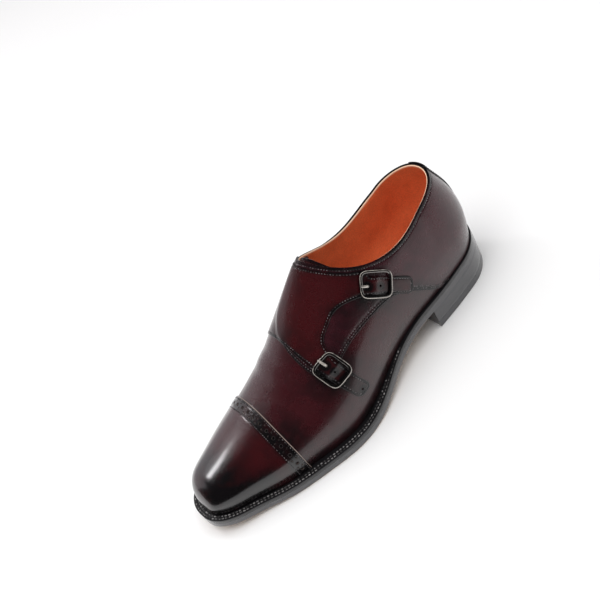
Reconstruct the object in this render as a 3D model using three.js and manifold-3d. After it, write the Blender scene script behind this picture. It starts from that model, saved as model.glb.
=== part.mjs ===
// Left double-monk strap shoe, men's, standing on its own sole.
// Millimetres. +X points to the toe, +Y to the lateral (buckle) side, +Z up.
// Every leather piece comes from one description of the last: lastPoint(side, station, height).
import * as THREE from 'three';
import Module from 'manifold-3d';

const wasm = await Module();
wasm.setup();
const { Manifold, Mesh } = wasm;

// ---------------------------------------------------------------- driving dimensions
const LAST_BACK = 2;          // rear end of the last
const LAST_TOE = 294;         // front end of the last
const HEEL_RADIUS = 33;       // length over which the heel rounds closed
const HEEL_POWER = 2.15;
const TOE_RADIUS = 24;        // length over which the toe rounds closed in plan
const TOE_POWER = 2.6;
const TOE_DROP = 16;          // length over which the toe drops closed in height
const TOE_DROP_POWER = 2.3;
const BACK_FADE = 90;         // how far forward the heel curve is felt

const HEEL_HEIGHT = 18;       // underside of the sole at the heel breast
const HEEL_SEAT_RISE = 4;     // extra height at the very back
const BREAST = 78;            // front face of the heel
const TREAD_BACK = 181;       // flat tread starts
const TREAD_FRONT = 223;      // flat tread ends
const TOE_SPRING = 8;
const SHOE_LENGTH = 300;
const END_CROWDING = 1.2;    // how much closer the stations stand at heel and toe

const SOLE = 5;               // outsole thickness
const SOLE_BEVEL = 1.2;
const WELT = 3.2;
const TOP_PIECE = 6;          // rubber lift under the heel
const INSOLE_ABOVE = 2.5;
const WALL = 2.2;             // upper and lining together
const GAP = 0.3;              // between pieces that meet
const CAP = 1.3;              // toe cap leather
const FLAP = 1.6;             // medial quarter with its two straps
const STAY = 1.1;             // backstay leather
const TONGUE = 1.6;

const WIRE_WIDE = 2.4;        // buckle wire, across the ring
const WIRE_HIGH = 2.0;
const PRONG_THICK = 1.6;
const PRONG_HOLE = 3.2;

// ---------------------------------------------------------------- tables
// Feather line: half widths of the last where it meets the welt.
const FEATHER = [
  { x: 2, lateral: 30.5, medial: 29.5 },
  { x: 40, lateral: 35.5, medial: 29.5 },
  { x: 80, lateral: 38.0, medial: 25.0 },
  { x: 120, lateral: 39.5, medial: 25.0 },
  { x: 155, lateral: 47.5, medial: 31.0 },
  { x: 190, lateral: 50.0, medial: 38.5 },
  { x: 215, lateral: 43.5, medial: 41.0 },
  { x: 245, lateral: 33.5, medial: 39.0 },
  { x: 270, lateral: 22.0, medial: 32.0 },
  { x: 294, lateral: 15.5, medial: 24.0 },
];

// Cross sections. ridge: height and side shift of the top line of the last; swell: how far the
// wall bulges beyond the feather line; belly: height of the widest point; wall and crown: how
// square the shoulder of the section is, up the wall and across the top.
const SECTIONS = [
  { x: 2, ridgeZ: 150, ridgeY: 0, swellL: 3.0, swellM: 3.0, belly: 20, wallL: .15, wallM: .15, crown: .20 },
  { x: 40, ridgeZ: 148, ridgeY: 0, swellL: 2.6, swellM: 2.5, belly: 20, wallL: .15, wallM: .15, crown: .20 },
  { x: 80, ridgeZ: 142, ridgeY: -1, swellL: 3.0, swellM: 4.5, belly: 22, wallL: .20, wallM: .20, crown: .25 },
  { x: 110, ridgeZ: 118, ridgeY: -5, swellL: 3.5, swellM: 7.2, belly: 23, wallL: .30, wallM: .30, crown: .38 },
  { x: 135, ridgeZ: 100, ridgeY: -8, swellL: 3.5, swellM: 7.5, belly: 22, wallL: .42, wallM: .45, crown: .50 },
  { x: 165, ridgeZ: 80, ridgeY: -6, swellL: 3.0, swellM: 5.2, belly: 19, wallL: .50, wallM: .54, crown: .55 },
  { x: 200, ridgeZ: 56, ridgeY: -5, swellL: 2.5, swellM: 3.0, belly: 16, wallL: .54, wallM: .57, crown: .58 },
  { x: 235, ridgeZ: 42.5, ridgeY: -4, swellL: 2.0, swellM: 2.0, belly: 13, wallL: .56, wallM: .58, crown: .60 },
  { x: 265, ridgeZ: 36, ridgeY: -3, swellL: 1.5, swellM: 1.5, belly: 11, wallL: .58, wallM: .58, crown: .62 },
  { x: 294, ridgeZ: 32, ridgeY: -3, swellL: 1.0, swellM: 1.0, belly: 10, wallL: .58, wallM: .58, crown: .62 },
];

// Curve of the back seam in side view: forward shift by height above the feather line.
const BACK_CURVE = [
  { z: -5, shift: 0 }, { z: 0, shift: 0 }, { z: 20, shift: -3.4 }, { z: 40, shift: -2.4 },
  { z: 60, shift: 4.5 }, { z: 80, shift: 9.5 }, { z: 120, shift: 18 },
];

// How far the sole edge stands outside the feather line.
const SOLE_MARGIN = [
  { x: 0, lateral: 1.9, medial: 1.9 }, { x: 60, lateral: 2.6, medial: 2.0 },
  { x: 110, lateral: 3.0, medial: 1.5 }, { x: 150, lateral: 6.2, medial: 2.5 },
  { x: 200, lateral: 8.0, medial: 5.0 }, { x: 250, lateral: 7.3, medial: 6.2 },
  { x: 300, lateral: 6.5, medial: 6.5 },
];

// Topline (edge of the collar) in side view.
const TOPLINE = [
  { x: -10, lateral: 98, medial: 98 }, { x: 5, lateral: 93, medial: 94 },
  { x: 30, lateral: 88.5, medial: 91 }, { x: 60, lateral: 82.5, medial: 87.5 },
  { x: 85, lateral: 84, medial: 87 }, { x: 105, lateral: 91.5, medial: 94 },
  { x: 120, lateral: 102, medial: 103 }, { x: 130, lateral: 110.5, medial: 110 },
  { x: 145, lateral: 121, medial: 121 },
];

// Buckles: where each sits on the lateral side (station and height), which way it lies, the size of
// its ring, and the strap's length past it, width, sideways shift and bend towards the strap's end.
const BUCKLES = [
  {
    name: 'upper', x: 103.2, z: 74.4, dirX: -0.735, dirZ: -0.678, long: 25, wide: 21,
    tail: 30.5, strap: 13, shift: -1.3, bend: -1.2,
  },
  {
    name: 'lower', x: 169, z: 56.1, dirX: -0.208, dirZ: -0.978, long: 22.4, wide: 20.4,
    tail: 28.5, strap: 13, shift: 0, bend: 3,
  },
];
const strapMiddle = (spec, along) => spec.shift + spec.bend * (Math.max(along, 0) / spec.tail) ** 1.6;

// Front edge of the medial quarter, from the instep down to the feather line (side view).
const QUARTER_FRONT = [
  { x: 176, z: 110 }, { x: 173, z: 74 }, { x: 170, z: 58 }, { x: 163, z: 42 },
  { x: 153, z: 27 }, { x: 143, z: 14 }, { x: 138, z: 0 },
];

// Outline of the flap on the lateral side, seen from outside and 41 degrees above:
// x along the shoe, w up the leather. Straps are added as strips of their own.
const FLAP_FRONT = [
  { x: 172.5, w: 78 }, { x: 173.5, w: 50 }, { x: 175, w: 40 }, { x: 176.5, w: 30 }, { x: 176, w: 18 },
];
const FLAP_REAR = [
  { x: 161.5, w: 20 }, { x: 158.5, w: 29 }, { x: 151, w: 36 }, { x: 141, w: 40.5 },
  { x: 129.5, w: 39 }, { x: 121, w: 35.5 }, { x: 112, w: 33 },
];

// ---------------------------------------------------------------- small mathematics
const clamp = (v, lo, hi) => Math.min(hi, Math.max(lo, v));
const smooth = (t) => t * t * (3 - 2 * t);

// Natural cubic curve through one column of a table.
function column(rows, across, name) {
  const x = rows.map((r) => r[across]);
  const y = rows.map((r) => r[name]);
  const n = x.length;
  const bend = new Array(n).fill(0);
  const lead = new Array(n).fill(0);
  for (let i = 1; i < n - 1; i++) {
    const h0 = x[i] - x[i - 1];
    const h1 = x[i + 1] - x[i];
    const pivot = 2 * (h0 + h1) - h0 * lead[i - 1];
    lead[i] = h1 / pivot;
    bend[i] = (6 * ((y[i + 1] - y[i]) / h1 - (y[i] - y[i - 1]) / h0) - h0 * bend[i - 1]) / pivot;
  }
  for (let i = n - 2; i > 0; i--) bend[i] -= lead[i] * bend[i + 1];
  return (at) => {
    const q = clamp(at, x[0], x[n - 1]);
    let i = 0;
    while (i < n - 2 && q > x[i + 1]) i++;
    const h = x[i + 1] - x[i];
    const a = (x[i + 1] - q) / h;
    const b = 1 - a;
    return a * y[i] + b * y[i + 1] + ((a ** 3 - a) * bend[i] + (b ** 3 - b) * bend[i + 1]) * h * h / 6;
  };
}

const bySide = (rows, left, right) => ({ 1: column(rows, 'x', left), '-1': column(rows, 'x', right) });
const featherHalf = bySide(FEATHER, 'lateral', 'medial');
const soleMargin = bySide(SOLE_MARGIN, 'lateral', 'medial');
const topline = bySide(TOPLINE, 'lateral', 'medial');
const swell = bySide(SECTIONS, 'swellL', 'swellM');
const wallPull = bySide(SECTIONS, 'wallL', 'wallM');
const crownPull = column(SECTIONS, 'x', 'crown');
const ridgeZ = column(SECTIONS, 'x', 'ridgeZ');
const ridgeY = column(SECTIONS, 'x', 'ridgeY');
const belly = column(SECTIONS, 'x', 'belly');
const backCurve = column(BACK_CURVE, 'z', 'shift');

// Station along the last for t from 0 (heel) to 1 (toe), closer together at both ends.
function station(t) {
  const near = ((1 - Math.cos(Math.PI * t)) / 2) ** END_CROWDING;
  const far = ((1 + Math.cos(Math.PI * t)) / 2) ** END_CROWDING;
  return LAST_BACK + (LAST_TOE - LAST_BACK) * near / (near + far);
}
// The t of a station.
function stationAt(x) {
  const share = clamp((x - LAST_BACK) / (LAST_TOE - LAST_BACK), 0, 1);
  const odds = (share / (1 - share)) ** (1 / END_CROWDING);
  return share >= 1 ? 1 : Math.acos(1 - 2 * odds / (1 + odds)) / Math.PI;
}

const rounding = (s, power) => (1 - clamp(s, 0, 1) ** power) ** (1 / power);
const heelClose = (x) => rounding((HEEL_RADIUS - (x - LAST_BACK)) / HEEL_RADIUS, HEEL_POWER);
const toeClose = (x) => rounding((x - (LAST_TOE - TOE_RADIUS)) / TOE_RADIUS, TOE_POWER);
const toeDrop = (x) => rounding((x - (LAST_TOE - TOE_DROP)) / TOE_DROP, TOE_DROP_POWER);

// Underside of the sole: flat tread, arch up to the heel, toe spring.
function soleBottom(x) {
  const arch = smooth(clamp((TREAD_BACK - x) / (TREAD_BACK - BREAST), 0, 1));
  const seat = clamp(1 - x / BREAST, 0, 1.1) ** 1.5;
  const toe = clamp((x - TREAD_FRONT) / (SHOE_LENGTH - TREAD_FRONT), 0, 1.2);
  return HEEL_HEIGHT * arch + HEEL_SEAT_RISE * seat + TOE_SPRING * toe * toe;
}
const featherZ = (x) => soleBottom(x) + SOLE + WELT;

const cubic = (a, b, c, d, u) =>
  (1 - u) ** 3 * a + 3 * (1 - u) ** 2 * u * b + 3 * (1 - u) * u * u * c + u ** 3 * d;

// The last. side: +1 lateral, -1 medial; x: station; v: 0 at the feather line, 1 on the ridge.
const BELLY_AT = 0.3;
function lastPoint(side, x, v) {
  const shut = heelClose(x) * toeClose(x);
  const drop = toeDrop(x);
  const floor = featherZ(x);
  const foot = featherHalf[side](x) * shut;
  const wide = foot + swell[side](x) * shut;
  const low = belly(x) * drop;
  const high = (ridgeZ(x) - floor) * drop;
  const mid = ridgeY(x) * side * shut;
  let y, z;
  if (v < BELLY_AT) {
    const u = v / BELLY_AT;
    y = cubic(foot, foot + 0.55 * (wide - foot), wide, wide, u);
    z = cubic(0, 0.30 * low, 0.62 * low, low, u);
  } else {
    const u = (v - BELLY_AT) / (1 - BELLY_AT);
    y = cubic(wide, wide, mid + crownPull(x) * (wide - mid), mid, u);
    z = cubic(low, low + wallPull[side](x) * (high - low), high, high, u);
  }
  const fade = clamp(1 - (x - LAST_BACK) / BACK_FADE, 0, 1) ** 2;
  return new THREE.Vector3(x + backCurve(z) * fade, side * y, floor + z);
}

function lastNormal(side, t, v) {
  const h = 0.004;
  const lo = clamp(t - h, 0, 1);
  const hi = clamp(t + h, 0, 1);
  const vl = clamp(v - h, 0, 1);
  const vh = clamp(v + h, 0, 1);
  const mid = clamp(t, 0.006, 0.994);
  const alongX = lastPoint(side, station(hi), v).sub(lastPoint(side, station(lo), v));
  const upV = lastPoint(side, station(mid), vh).sub(lastPoint(side, station(mid), vl));
  return alongX.cross(upV).multiplyScalar(-side).normalize();
}

// ---------------------------------------------------------------- meshes and solids
// Triangles from grids of points; shared corners are welded so every solid is closed.
class Skin {
  constructor() { this.points = []; this.faces = []; this.seen = new Map(); }
  at(p) {
    const key = `${Math.round(p.x * 2000)},${Math.round(p.y * 2000)},${Math.round(p.z * 2000)}`;
    if (!this.seen.has(key)) { this.seen.set(key, this.points.length); this.points.push(p); }
    return this.seen.get(key);
  }
  tri(a, b, c) {
    const [i, j, k] = [this.at(a), this.at(b), this.at(c)];
    if (i !== j && j !== k && k !== i) this.faces.push([i, j, k]);
  }
  grid(rows, flip = false) {
    for (let i = 0; i + 1 < rows.length; i++) {
      for (let j = 0; j + 1 < rows[i].length; j++) {
        const [a, b, c, d] = [rows[i][j], rows[i][j + 1], rows[i + 1][j + 1], rows[i + 1][j]];
        if (flip) { this.tri(a, c, b); this.tri(a, d, c); } else { this.tri(a, b, c); this.tri(a, c, d); }
      }
    }
  }
  solid() {
    const verts = new Float32Array(this.points.flatMap((p) => [p.x, p.y, p.z]));
    let made = new Manifold(new Mesh({ numProp: 3, vertProperties: verts, triVerts: new Uint32Array(this.faces.flat()) }));
    if (made.volume() < 0) {
      this.faces = this.faces.map(([a, b, c]) => [a, c, b]);
      made = new Manifold(new Mesh({ numProp: 3, vertProperties: verts, triVerts: new Uint32Array(this.faces.flat()) }));
    }
    return made;
  }
}

// Whole last grown by `grow` millimetres (negative: shrunk), as a closed solid. `skirt` carries the
// wall straight down below the feather line.
const STATIONS = 38;
const ROWS = 13;
function lastSolid(grow, skirt = 0, stations = STATIONS, rows = ROWS) {
  const wall = { 1: [], '-1': [] };
  for (let i = 0; i <= stations; i++) {
    const t = i / stations;
    for (const side of [1, -1]) {
      const line = [];
      for (let j = 0; j <= rows; j++) {
        const v = j / rows;
        const n = lastNormal(side, t, v);
        if (i === 0 || j === rows) n.add(lastNormal(-side, t, v)).normalize();
        if (i === 0) n.y = 0;
        if (i === stations) n.set(1, 0, 0);
        line.push(lastPoint(side, station(t), v).addScaledVector(n, grow));
      }
      if (skirt) line.unshift(line[0].clone().add(new THREE.Vector3(0, 0, -skirt)));
      wall[side].push(line);
    }
  }
  const skin = new Skin();
  skin.grid(wall[1]);
  skin.grid(wall[-1], true);
  for (let i = 0; i < stations; i++) {
    const [a, b] = [wall[1][i][0], wall[1][i + 1][0]];
    const [c, d] = [wall[-1][i + 1][0], wall[-1][i][0]];
    skin.tri(a, b, c);
    skin.tri(a, c, d);
  }
  return skin.solid();
}

const leather = (inner, outer) => lastSolid(outer).subtract(lastSolid(inner, 12));

// Solid between a lower and an upper height surface over the whole plan of the shoe.
function slab(low, high, xs, ys) {
  const skin = new Skin();
  const lay = (height) => xs.map((x) => ys.map((y) => new THREE.Vector3(x, y, height(x, y))));
  const [bottom, top] = [lay(low), lay(high)];
  skin.grid(bottom, true);
  skin.grid(top);
  for (let i = 0; i + 1 < xs.length; i++) {
    const e = ys.length - 1;
    skin.grid([[bottom[i][0], top[i][0]], [bottom[i + 1][0], top[i + 1][0]]]);
    skin.grid([[bottom[i][e], top[i][e]], [bottom[i + 1][e], top[i + 1][e]]], true);
  }
  for (let j = 0; j + 1 < ys.length; j++) {
    const e = xs.length - 1;
    skin.grid([[bottom[0][j], top[0][j]], [bottom[0][j + 1], top[0][j + 1]]], true);
    skin.grid([[bottom[e][j], top[e][j]], [bottom[e][j + 1], top[e][j + 1]]]);
  }
  return skin.solid();
}

const span = (from, to, count) => Array.from({ length: count + 1 }, (_, i) => from + (to - from) * i / count);

// Everything above the topline, dropped by `lower` millimetres.
function aboveTopline(lower = 0) {
  const edge = (x, y) => {
    const s = smooth(clamp((y + 30) / 60, 0, 1));
    return topline[-1](x) * (1 - s) + topline[1](x) * s - lower;
  };
  return slab(edge, () => 230, span(-40, 146, 44), [-90, -30, -18, -6, 6, 18, 30, 90]);
}

// Everything below the feather line, raised by `lift` millimetres.
const belowFeather = (lift) =>
  slab(() => -40, (x) => featherZ(x) + lift, span(-20, 320, 56), [-90, 90]);

// Prism: a closed outline in the plane of axes `u` and `w`, carried along `along` from near to far.
function prism(outline, u, w, along, near, far) {
  const shape = outline.map(([a, b]) => new THREE.Vector2(a, b));
  if (THREE.ShapeUtils.area(shape) < 0) shape.reverse();
  const place = (p, d) => new THREE.Vector3().addScaledVector(u, p.x).addScaledVector(w, p.y).addScaledVector(along, d);
  const skin = new Skin();
  for (const [a, b, c] of THREE.ShapeUtils.triangulateShape(shape, [])) {
    skin.tri(place(shape[c], near), place(shape[b], near), place(shape[a], near));
    skin.tri(place(shape[a], far), place(shape[b], far), place(shape[c], far));
  }
  shape.forEach((p, i) => {
    const q = shape[(i + 1) % shape.length];
    skin.grid([[place(p, near), place(p, far)], [place(q, near), place(q, far)]], true);
  });
  return skin.solid();
}

// Sole outline: feather line carried outwards by its margin plus `extra`.
// Returns matching lateral and medial points for each station.
function outline(extra, margin = true, count = 40) {
  const edge = (side, t) => new THREE.Vector2(station(t), side * featherHalf[side](station(t))
    * heelClose(station(t)) * toeClose(station(t)));
  const shifted = (side, t) => {
    const h = 0.004;
    const run = edge(side, clamp(t + h, 0, 1)).sub(edge(side, clamp(t - h, 0, 1)));
    if (t === 0) run.set(0, side);
    if (t === 1) run.set(0, -side);
    const out = new THREE.Vector2(-run.y, run.x).normalize().multiplyScalar(side);
    const own = soleMargin[side](station(t));
    const stand = t === 0 || t === 1 ? (own + soleMargin[-side](station(t))) / 2 : own;
    return edge(side, t).addScaledVector(out, (margin ? stand : 0) + extra);
  };
  return span(0, 1, count).map((t) => [shifted(1, t), shifted(-1, t)]);
}

// Solid from a stack of outlines; each level gives its outline and the height over the sole line.
function stack(levels) {
  const rings = levels.map(({ line, height }) => line.map((pair) =>
    pair.map((p) => new THREE.Vector3(p.x, p.y, height(p.x)))));
  const skin = new Skin();
  const [first, last] = [rings[0], rings[rings.length - 1]];
  skin.grid(first, true);
  skin.grid(last);
  for (let k = 0; k + 1 < rings.length; k++) {
    for (const side of [0, 1]) {
      skin.grid([rings[k].map((r) => r[side]), rings[k + 1].map((r) => r[side])], side === 0);
    }
    for (const end of [0, first.length - 1]) {
      skin.grid([rings[k][end], rings[k + 1][end]], end !== 0);
    }
  }
  return skin.solid();
}

// Tube along a path. Each stop has a centre, the way up and the way across.
function tube(stops, wide, high, closed, sides = 8) {
  const ring = (s) => span(0, 1, sides).slice(0, sides).map((k) => {
    const a = 2 * Math.PI * (k + 0.5 / sides);
    return s.centre.clone().addScaledVector(s.across, Math.cos(a) * wide / 2)
      .addScaledVector(s.up, Math.sin(a) * high / 2);
  });
  const rings = stops.map(ring);
  const skin = new Skin();
  const joinRings = (a, b) => skin.grid([[...a, a[0]], [...b, b[0]]]);
  for (let i = 0; i + 1 < rings.length; i++) joinRings(rings[i], rings[i + 1]);
  if (closed) joinRings(rings[rings.length - 1], rings[0]);
  else {
    for (let k = 1; k + 1 < sides; k++) {
      skin.tri(rings[0][0], rings[0][k + 1], rings[0][k]);
      const e = rings[rings.length - 1];
      skin.tri(e[0], e[k], e[k + 1]);
    }
  }
  return skin.solid();
}

// ---------------------------------------------------------------- the sole
const soleLine = (drop) => (x) => soleBottom(x) + drop;

const outsole = stack([
  { line: outline(-SOLE_BEVEL), height: soleLine(0) },
  { line: outline(0), height: soleLine(SOLE_BEVEL) },
  { line: outline(0), height: soleLine(SOLE - GAP / 2) },
]);

const welt = stack([
  { line: outline(0), height: soleLine(SOLE + GAP / 2) },
  { line: outline(-0.4), height: soleLine(SOLE + WELT - GAP) },
]).subtract(stack([
  { line: outline(-WALL - 0.2, false), height: soleLine(0) },
  { line: outline(-WALL - 0.2, false), height: soleLine(SOLE + WELT + 5) },
]));

const insole = stack([
  { line: outline(-WALL - 0.7, false), height: soleLine(SOLE + GAP) },
  { line: outline(-WALL - 0.7, false), height: soleLine(SOLE + WELT + INSOLE_ABOVE) },
]);

// The heel is the back of the sole outline, cut at the breast and drawn in a little downwards.
const behindBreast = (lean) => prism([[-30, -10], [BREAST, -10], [BREAST + lean, 60], [-30, 60]],
  new THREE.Vector3(1, 0, 0), new THREE.Vector3(0, 0, 1), new THREE.Vector3(0, 1, 0), -90, 90);
const heelBlock = (from, to) => stack([
  { line: outline(from.inset), height: from.height },
  { line: outline(to.inset), height: to.height },
]).intersect(behindBreast(1.5));

const heelTopPiece = heelBlock({ inset: -1.4, height: () => 0 }, { inset: -1.2, height: () => TOP_PIECE });
const heelStack = heelBlock(
  { inset: -1.2, height: () => TOP_PIECE + GAP },
  { inset: -0.3, height: soleLine(-GAP) },
);

// ---------------------------------------------------------------- the upper
const collar = aboveTopline();
const upper = lastSolid(0).subtract(lastSolid(-WALL, 12)).subtract(collar);

const AXIS_X = new THREE.Vector3(1, 0, 0);
const AXIS_Y = new THREE.Vector3(0, 1, 0);
const AXIS_Z = new THREE.Vector3(0, 0, 1);

// Toe cap: straight across, a little further forward on the lateral side.
const CAP_SEAM = 219;
const CAP_SLANT = 0.1;
const capRegion = prism(
  [[CAP_SEAM - 90 * CAP_SLANT, -90], [330, -90], [330, 90], [CAP_SEAM + 90 * CAP_SLANT, 90]],
  AXIS_X, AXIS_Y, AXIS_Z, -20, 120,
);
const toeCap = leather(GAP, GAP + CAP).intersect(capRegion).subtract(belowFeather(0.2));

// Backstay: strip over the back seam.
const STAY_HALF = 10;
const stayRegion = prism([[-30, -STAY_HALF], [30, -STAY_HALF], [30, STAY_HALF], [-30, STAY_HALF]],
  AXIS_X, AXIS_Y, AXIS_Z, -20, 140);
const backstay = leather(GAP, GAP + STAY).intersect(stayRegion).subtract(collar).subtract(belowFeather(0.2));

// Tongue: under the instep, inside the upper.
const tongueRegion = prism([[110, -30], [172, -22], [172, 8], [110, 14]], AXIS_X, AXIS_Y, AXIS_Z, 40, 140);
const tongue = lastSolid(-WALL - GAP).subtract(lastSolid(-WALL - GAP - TONGUE, 12))
  .intersect(tongueRegion).subtract(aboveTopline(2.5));

// ---------------------------------------------------------------- straps and buckles
// Local frame of a buckle on the lateral side, and the surface around it.
function seat({ x, z, dirX, dirZ }) {
  const onSide = (sx, sv) => lastPoint(1, sx, sv);
  let [lo, hi] = [BELLY_AT, 1];
  for (let k = 0; k < 40; k++) {
    const mid = (lo + hi) / 2;
    if (onSide(x, mid).z < z) lo = mid; else hi = mid;
  }
  const v0 = (lo + hi) / 2;
  const centre = onSide(x, v0);
  const up = lastNormal(1, stationAt(x), v0);
  const run = new THREE.Vector3(dirX, 0, dirZ);
  run.addScaledVector(up, -run.dot(up)).normalize();
  const across = up.clone().cross(run);
  // Point on the leather `a` along the strap and `b` across it, lifted by `lift`.
  const on = (a, b, lift) => {
    let [sx, sv] = [x, v0];
    const goal = centre.clone().addScaledVector(run, a).addScaledVector(across, b);
    const miss = (px, pv) => {
      const d = onSide(px, pv).sub(goal);
      return [d.dot(run), d.dot(across)];
    };
    for (let k = 0; k < 12; k++) {
      const [m0, m1] = miss(sx, sv);
      const [a0, a1] = miss(sx + 0.05, sv);
      const [b0, b1] = miss(sx, sv + 0.001);
      const [ax, ay, bx, by] = [(a0 - m0) / 0.05, (a1 - m1) / 0.05, (b0 - m0) / 0.001, (b1 - m1) / 0.001];
      const det = ax * by - bx * ay;
      sx -= (m0 * by - bx * m1) / det;
      sv = clamp(sv - (ax * m1 - ay * m0) / det, 0.02, 0.98);
    }
    const normal = lastNormal(1, stationAt(sx), sv);
    return { centre: onSide(sx, sv).addScaledVector(normal, lift), up: normal };
  };
  return { centre, up, run, across, on };
}

const STRAP_TOP = GAP + FLAP;
// Ring of wire laid on the strap: rounded rectangle with barrel sides.
function buckleRing(spec) {
  const place = seat(spec);
  const count = 40;
  const path = span(0, 1, count).slice(0, count).map((k) => {
    const a = 2 * Math.PI * k;
    const [c, s] = [Math.cos(a), Math.sin(a)];
    const r = (Math.abs(c) ** 4.5 + Math.abs(s) ** 4.5) ** (-1 / 4.5);
    return [(spec.long - WIRE_WIDE) / 2 * c * r, (spec.wide - WIRE_WIDE) / 2 * s * r];
  });
  const lift = STRAP_TOP + GAP + WIRE_HIGH / 2;
  const stops = path.map(([a, b]) => place.on(a, b, lift));
  stops.forEach((stop, i) => {
    const next = stops[(i + 1) % count].centre;
    const prev = stops[(i + count - 1) % count].centre;
    const along = next.clone().sub(prev).normalize();
    stop.across = stop.up.clone().cross(along).normalize();
    stop.up = along.cross(stop.across);
  });
  return tube(stops, WIRE_WIDE, WIRE_HIGH, true);
}

// Prong: rises through the strap's hole and rests its tip over the near side of the ring.
const PRONG = [
  { back: 5.4, lift: GAP + 0.5 + PRONG_THICK / 2 }, { back: 5.0, lift: STRAP_TOP + 1.2 },
  { back: 3.8, lift: STRAP_TOP + 2.5 },
  { back: 1.7, lift: STRAP_TOP + GAP + WIRE_HIGH + GAP + PRONG_THICK / 2 },
  { back: -1.4, lift: STRAP_TOP + GAP + WIRE_HIGH + PRONG_THICK / 2 + 0.3 },
];
const nearBar = (spec) => -(spec.long - WIRE_WIDE) / 2;
function prong(spec) {
  const place = seat(spec);
  const stops = PRONG.map(({ back, lift }) => {
    const along = nearBar(spec) + back;
    return place.on(along, strapMiddle(spec, along), lift);
  });
  const centres = stops.map((s) => s.centre.clone());
  stops.forEach((stop, i) => {
    const along = centres[Math.min(i + 1, centres.length - 1)].clone().sub(centres[Math.max(i - 1, 0)]).normalize();
    stop.across = place.across.clone().addScaledVector(along, -place.across.dot(along)).normalize();
    stop.up = along.clone().cross(stop.across).normalize();
  });
  return tube(stops, PRONG_THICK, PRONG_THICK, false);
}

// Flap outline on the lateral side, looked at from outside and above.
const VIEW = new THREE.Vector3(0, 0.755, 0.656);
const VIEW_UP = new THREE.Vector3(0, -0.656, 0.755);
const curvePoints = (rows, across, other, count) => {
  const [u, w] = [rows.map((r) => r[across]), rows.map((r) => r[other])];
  const curve = new THREE.CatmullRomCurve3(u.map((a, i) => new THREE.Vector3(a, w[i], 0)), false, 'centripetal');
  return curve.getPoints(count).map((p) => [p.x, p.y]);
};
const flapBody = prism(
  [...curvePoints(FLAP_FRONT, 'x', 'w', 14), ...curvePoints(FLAP_REAR, 'x', 'w', 18), [96, 38], [80, 90], [120, 130]],
  AXIS_X, VIEW_UP, VIEW, 42, 140,
);

// Strip of strap through the buckle to its blunt, rounded end.
const STRAP_BACK = -16;
function strapStrip(spec) {
  const place = seat(spec);
  const half = spec.strap / 2;
  const end = span(0, 1, 8).map((k) => {
    const a = Math.PI * (k - 0.5);
    const r = (Math.abs(Math.cos(a)) ** 3 + Math.abs(Math.sin(a)) ** 3) ** (-1 / 3);
    return [spec.tail - half * 0.8 + half * 0.8 * Math.cos(a) * r, half * Math.sin(a) * r];
  });
  const shape = [[STRAP_BACK, half + 1.2], [STRAP_BACK, -half - 1.2], [0, -half - 0.4], [12, -half],
    [20, -half], ...end, [20, half], [12, half], [0, half + 0.4]].map(([a, b]) => [a, b + strapMiddle(spec, a)]);
  const strip = prism(shape, place.run, place.across, place.up, -12, 12);
  return strip.translate([place.centre.x, place.centre.y, place.centre.z]);
}

const frontEdge = curvePoints(QUARTER_FRONT, 'x', 'z', 24);
const quarterRegion = prism([...frontEdge, [60, -10], [60, 140], [120, 140]], AXIS_X, AXIS_Z, AXIS_Y, -90, -4)
  .add(prism([[-30, -10], [61, -10], [61, 140], [-30, 140]], AXIS_X, AXIS_Z, AXIS_Y, -90, -STAY_HALF - GAP));
const prongHole = (spec) => {
  const place = seat(spec);
  const at = nearBar(spec) + 5.2;
  const ring = span(0, 1, 12).slice(0, 12).map((k) => [at + Math.cos(2 * Math.PI * k) * PRONG_HOLE / 2,
    strapMiddle(spec, at) + Math.sin(2 * Math.PI * k) * PRONG_HOLE / 2]);
  return prism(ring, place.run, place.across, place.up, -6, 8)
    .translate([place.centre.x, place.centre.y, place.centre.z]);
};

let flapRegion = quarterRegion.add(flapBody);
for (const spec of BUCKLES) flapRegion = flapRegion.add(strapStrip(spec));
let monkFlap = leather(GAP, GAP + FLAP).intersect(flapRegion).subtract(collar).subtract(belowFeather(0.2));
for (const spec of BUCKLES) monkFlap = monkFlap.subtract(prongHole(spec));

// ---------------------------------------------------------------- assembly
const FINISH = {
  burgundyLeather: { color: 0x45191c, roughness: 0.42, metalness: 0 },
  blackLeather: { color: 0x1b1719, roughness: 0.45, metalness: 0 },
  liningLeather: { color: 0xa4622f, roughness: 0.7, metalness: 0 },
  rubber: { color: 0x1d1c1e, roughness: 0.6, metalness: 0 },
  gunmetal: { color: 0x55524f, roughness: 0.3, metalness: 1 },
};

const PIECES = [
  ['outsole', outsole, FINISH.blackLeather],
  ['welt', welt, FINISH.blackLeather],
  ['heel_stack', heelStack, FINISH.blackLeather],
  ['heel_top_piece', heelTopPiece, FINISH.rubber],
  ['insole', insole, FINISH.liningLeather],
  ['upper', upper, FINISH.burgundyLeather],
  ['tongue', tongue, FINISH.liningLeather],
  ['toe_cap', toeCap, FINISH.burgundyLeather],
  ['backstay', backstay, FINISH.burgundyLeather],
  ['monk_flap', monkFlap, FINISH.burgundyLeather],
  ...BUCKLES.flatMap((spec) => [
    [`buckle_${spec.name}`, buckleRing(spec), FINISH.gunmetal],
    [`prong_${spec.name}`, prong(spec), FINISH.gunmetal],
  ]),
];

const FACET_TOLERANCE = 0.06;

// Keep the largest body of a piece: slivers left by a cut are not part of it.
function largest(solid) {
  return solid.decompose().sort((a, b) => b.volume() - a.volume())[0];
}

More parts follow.
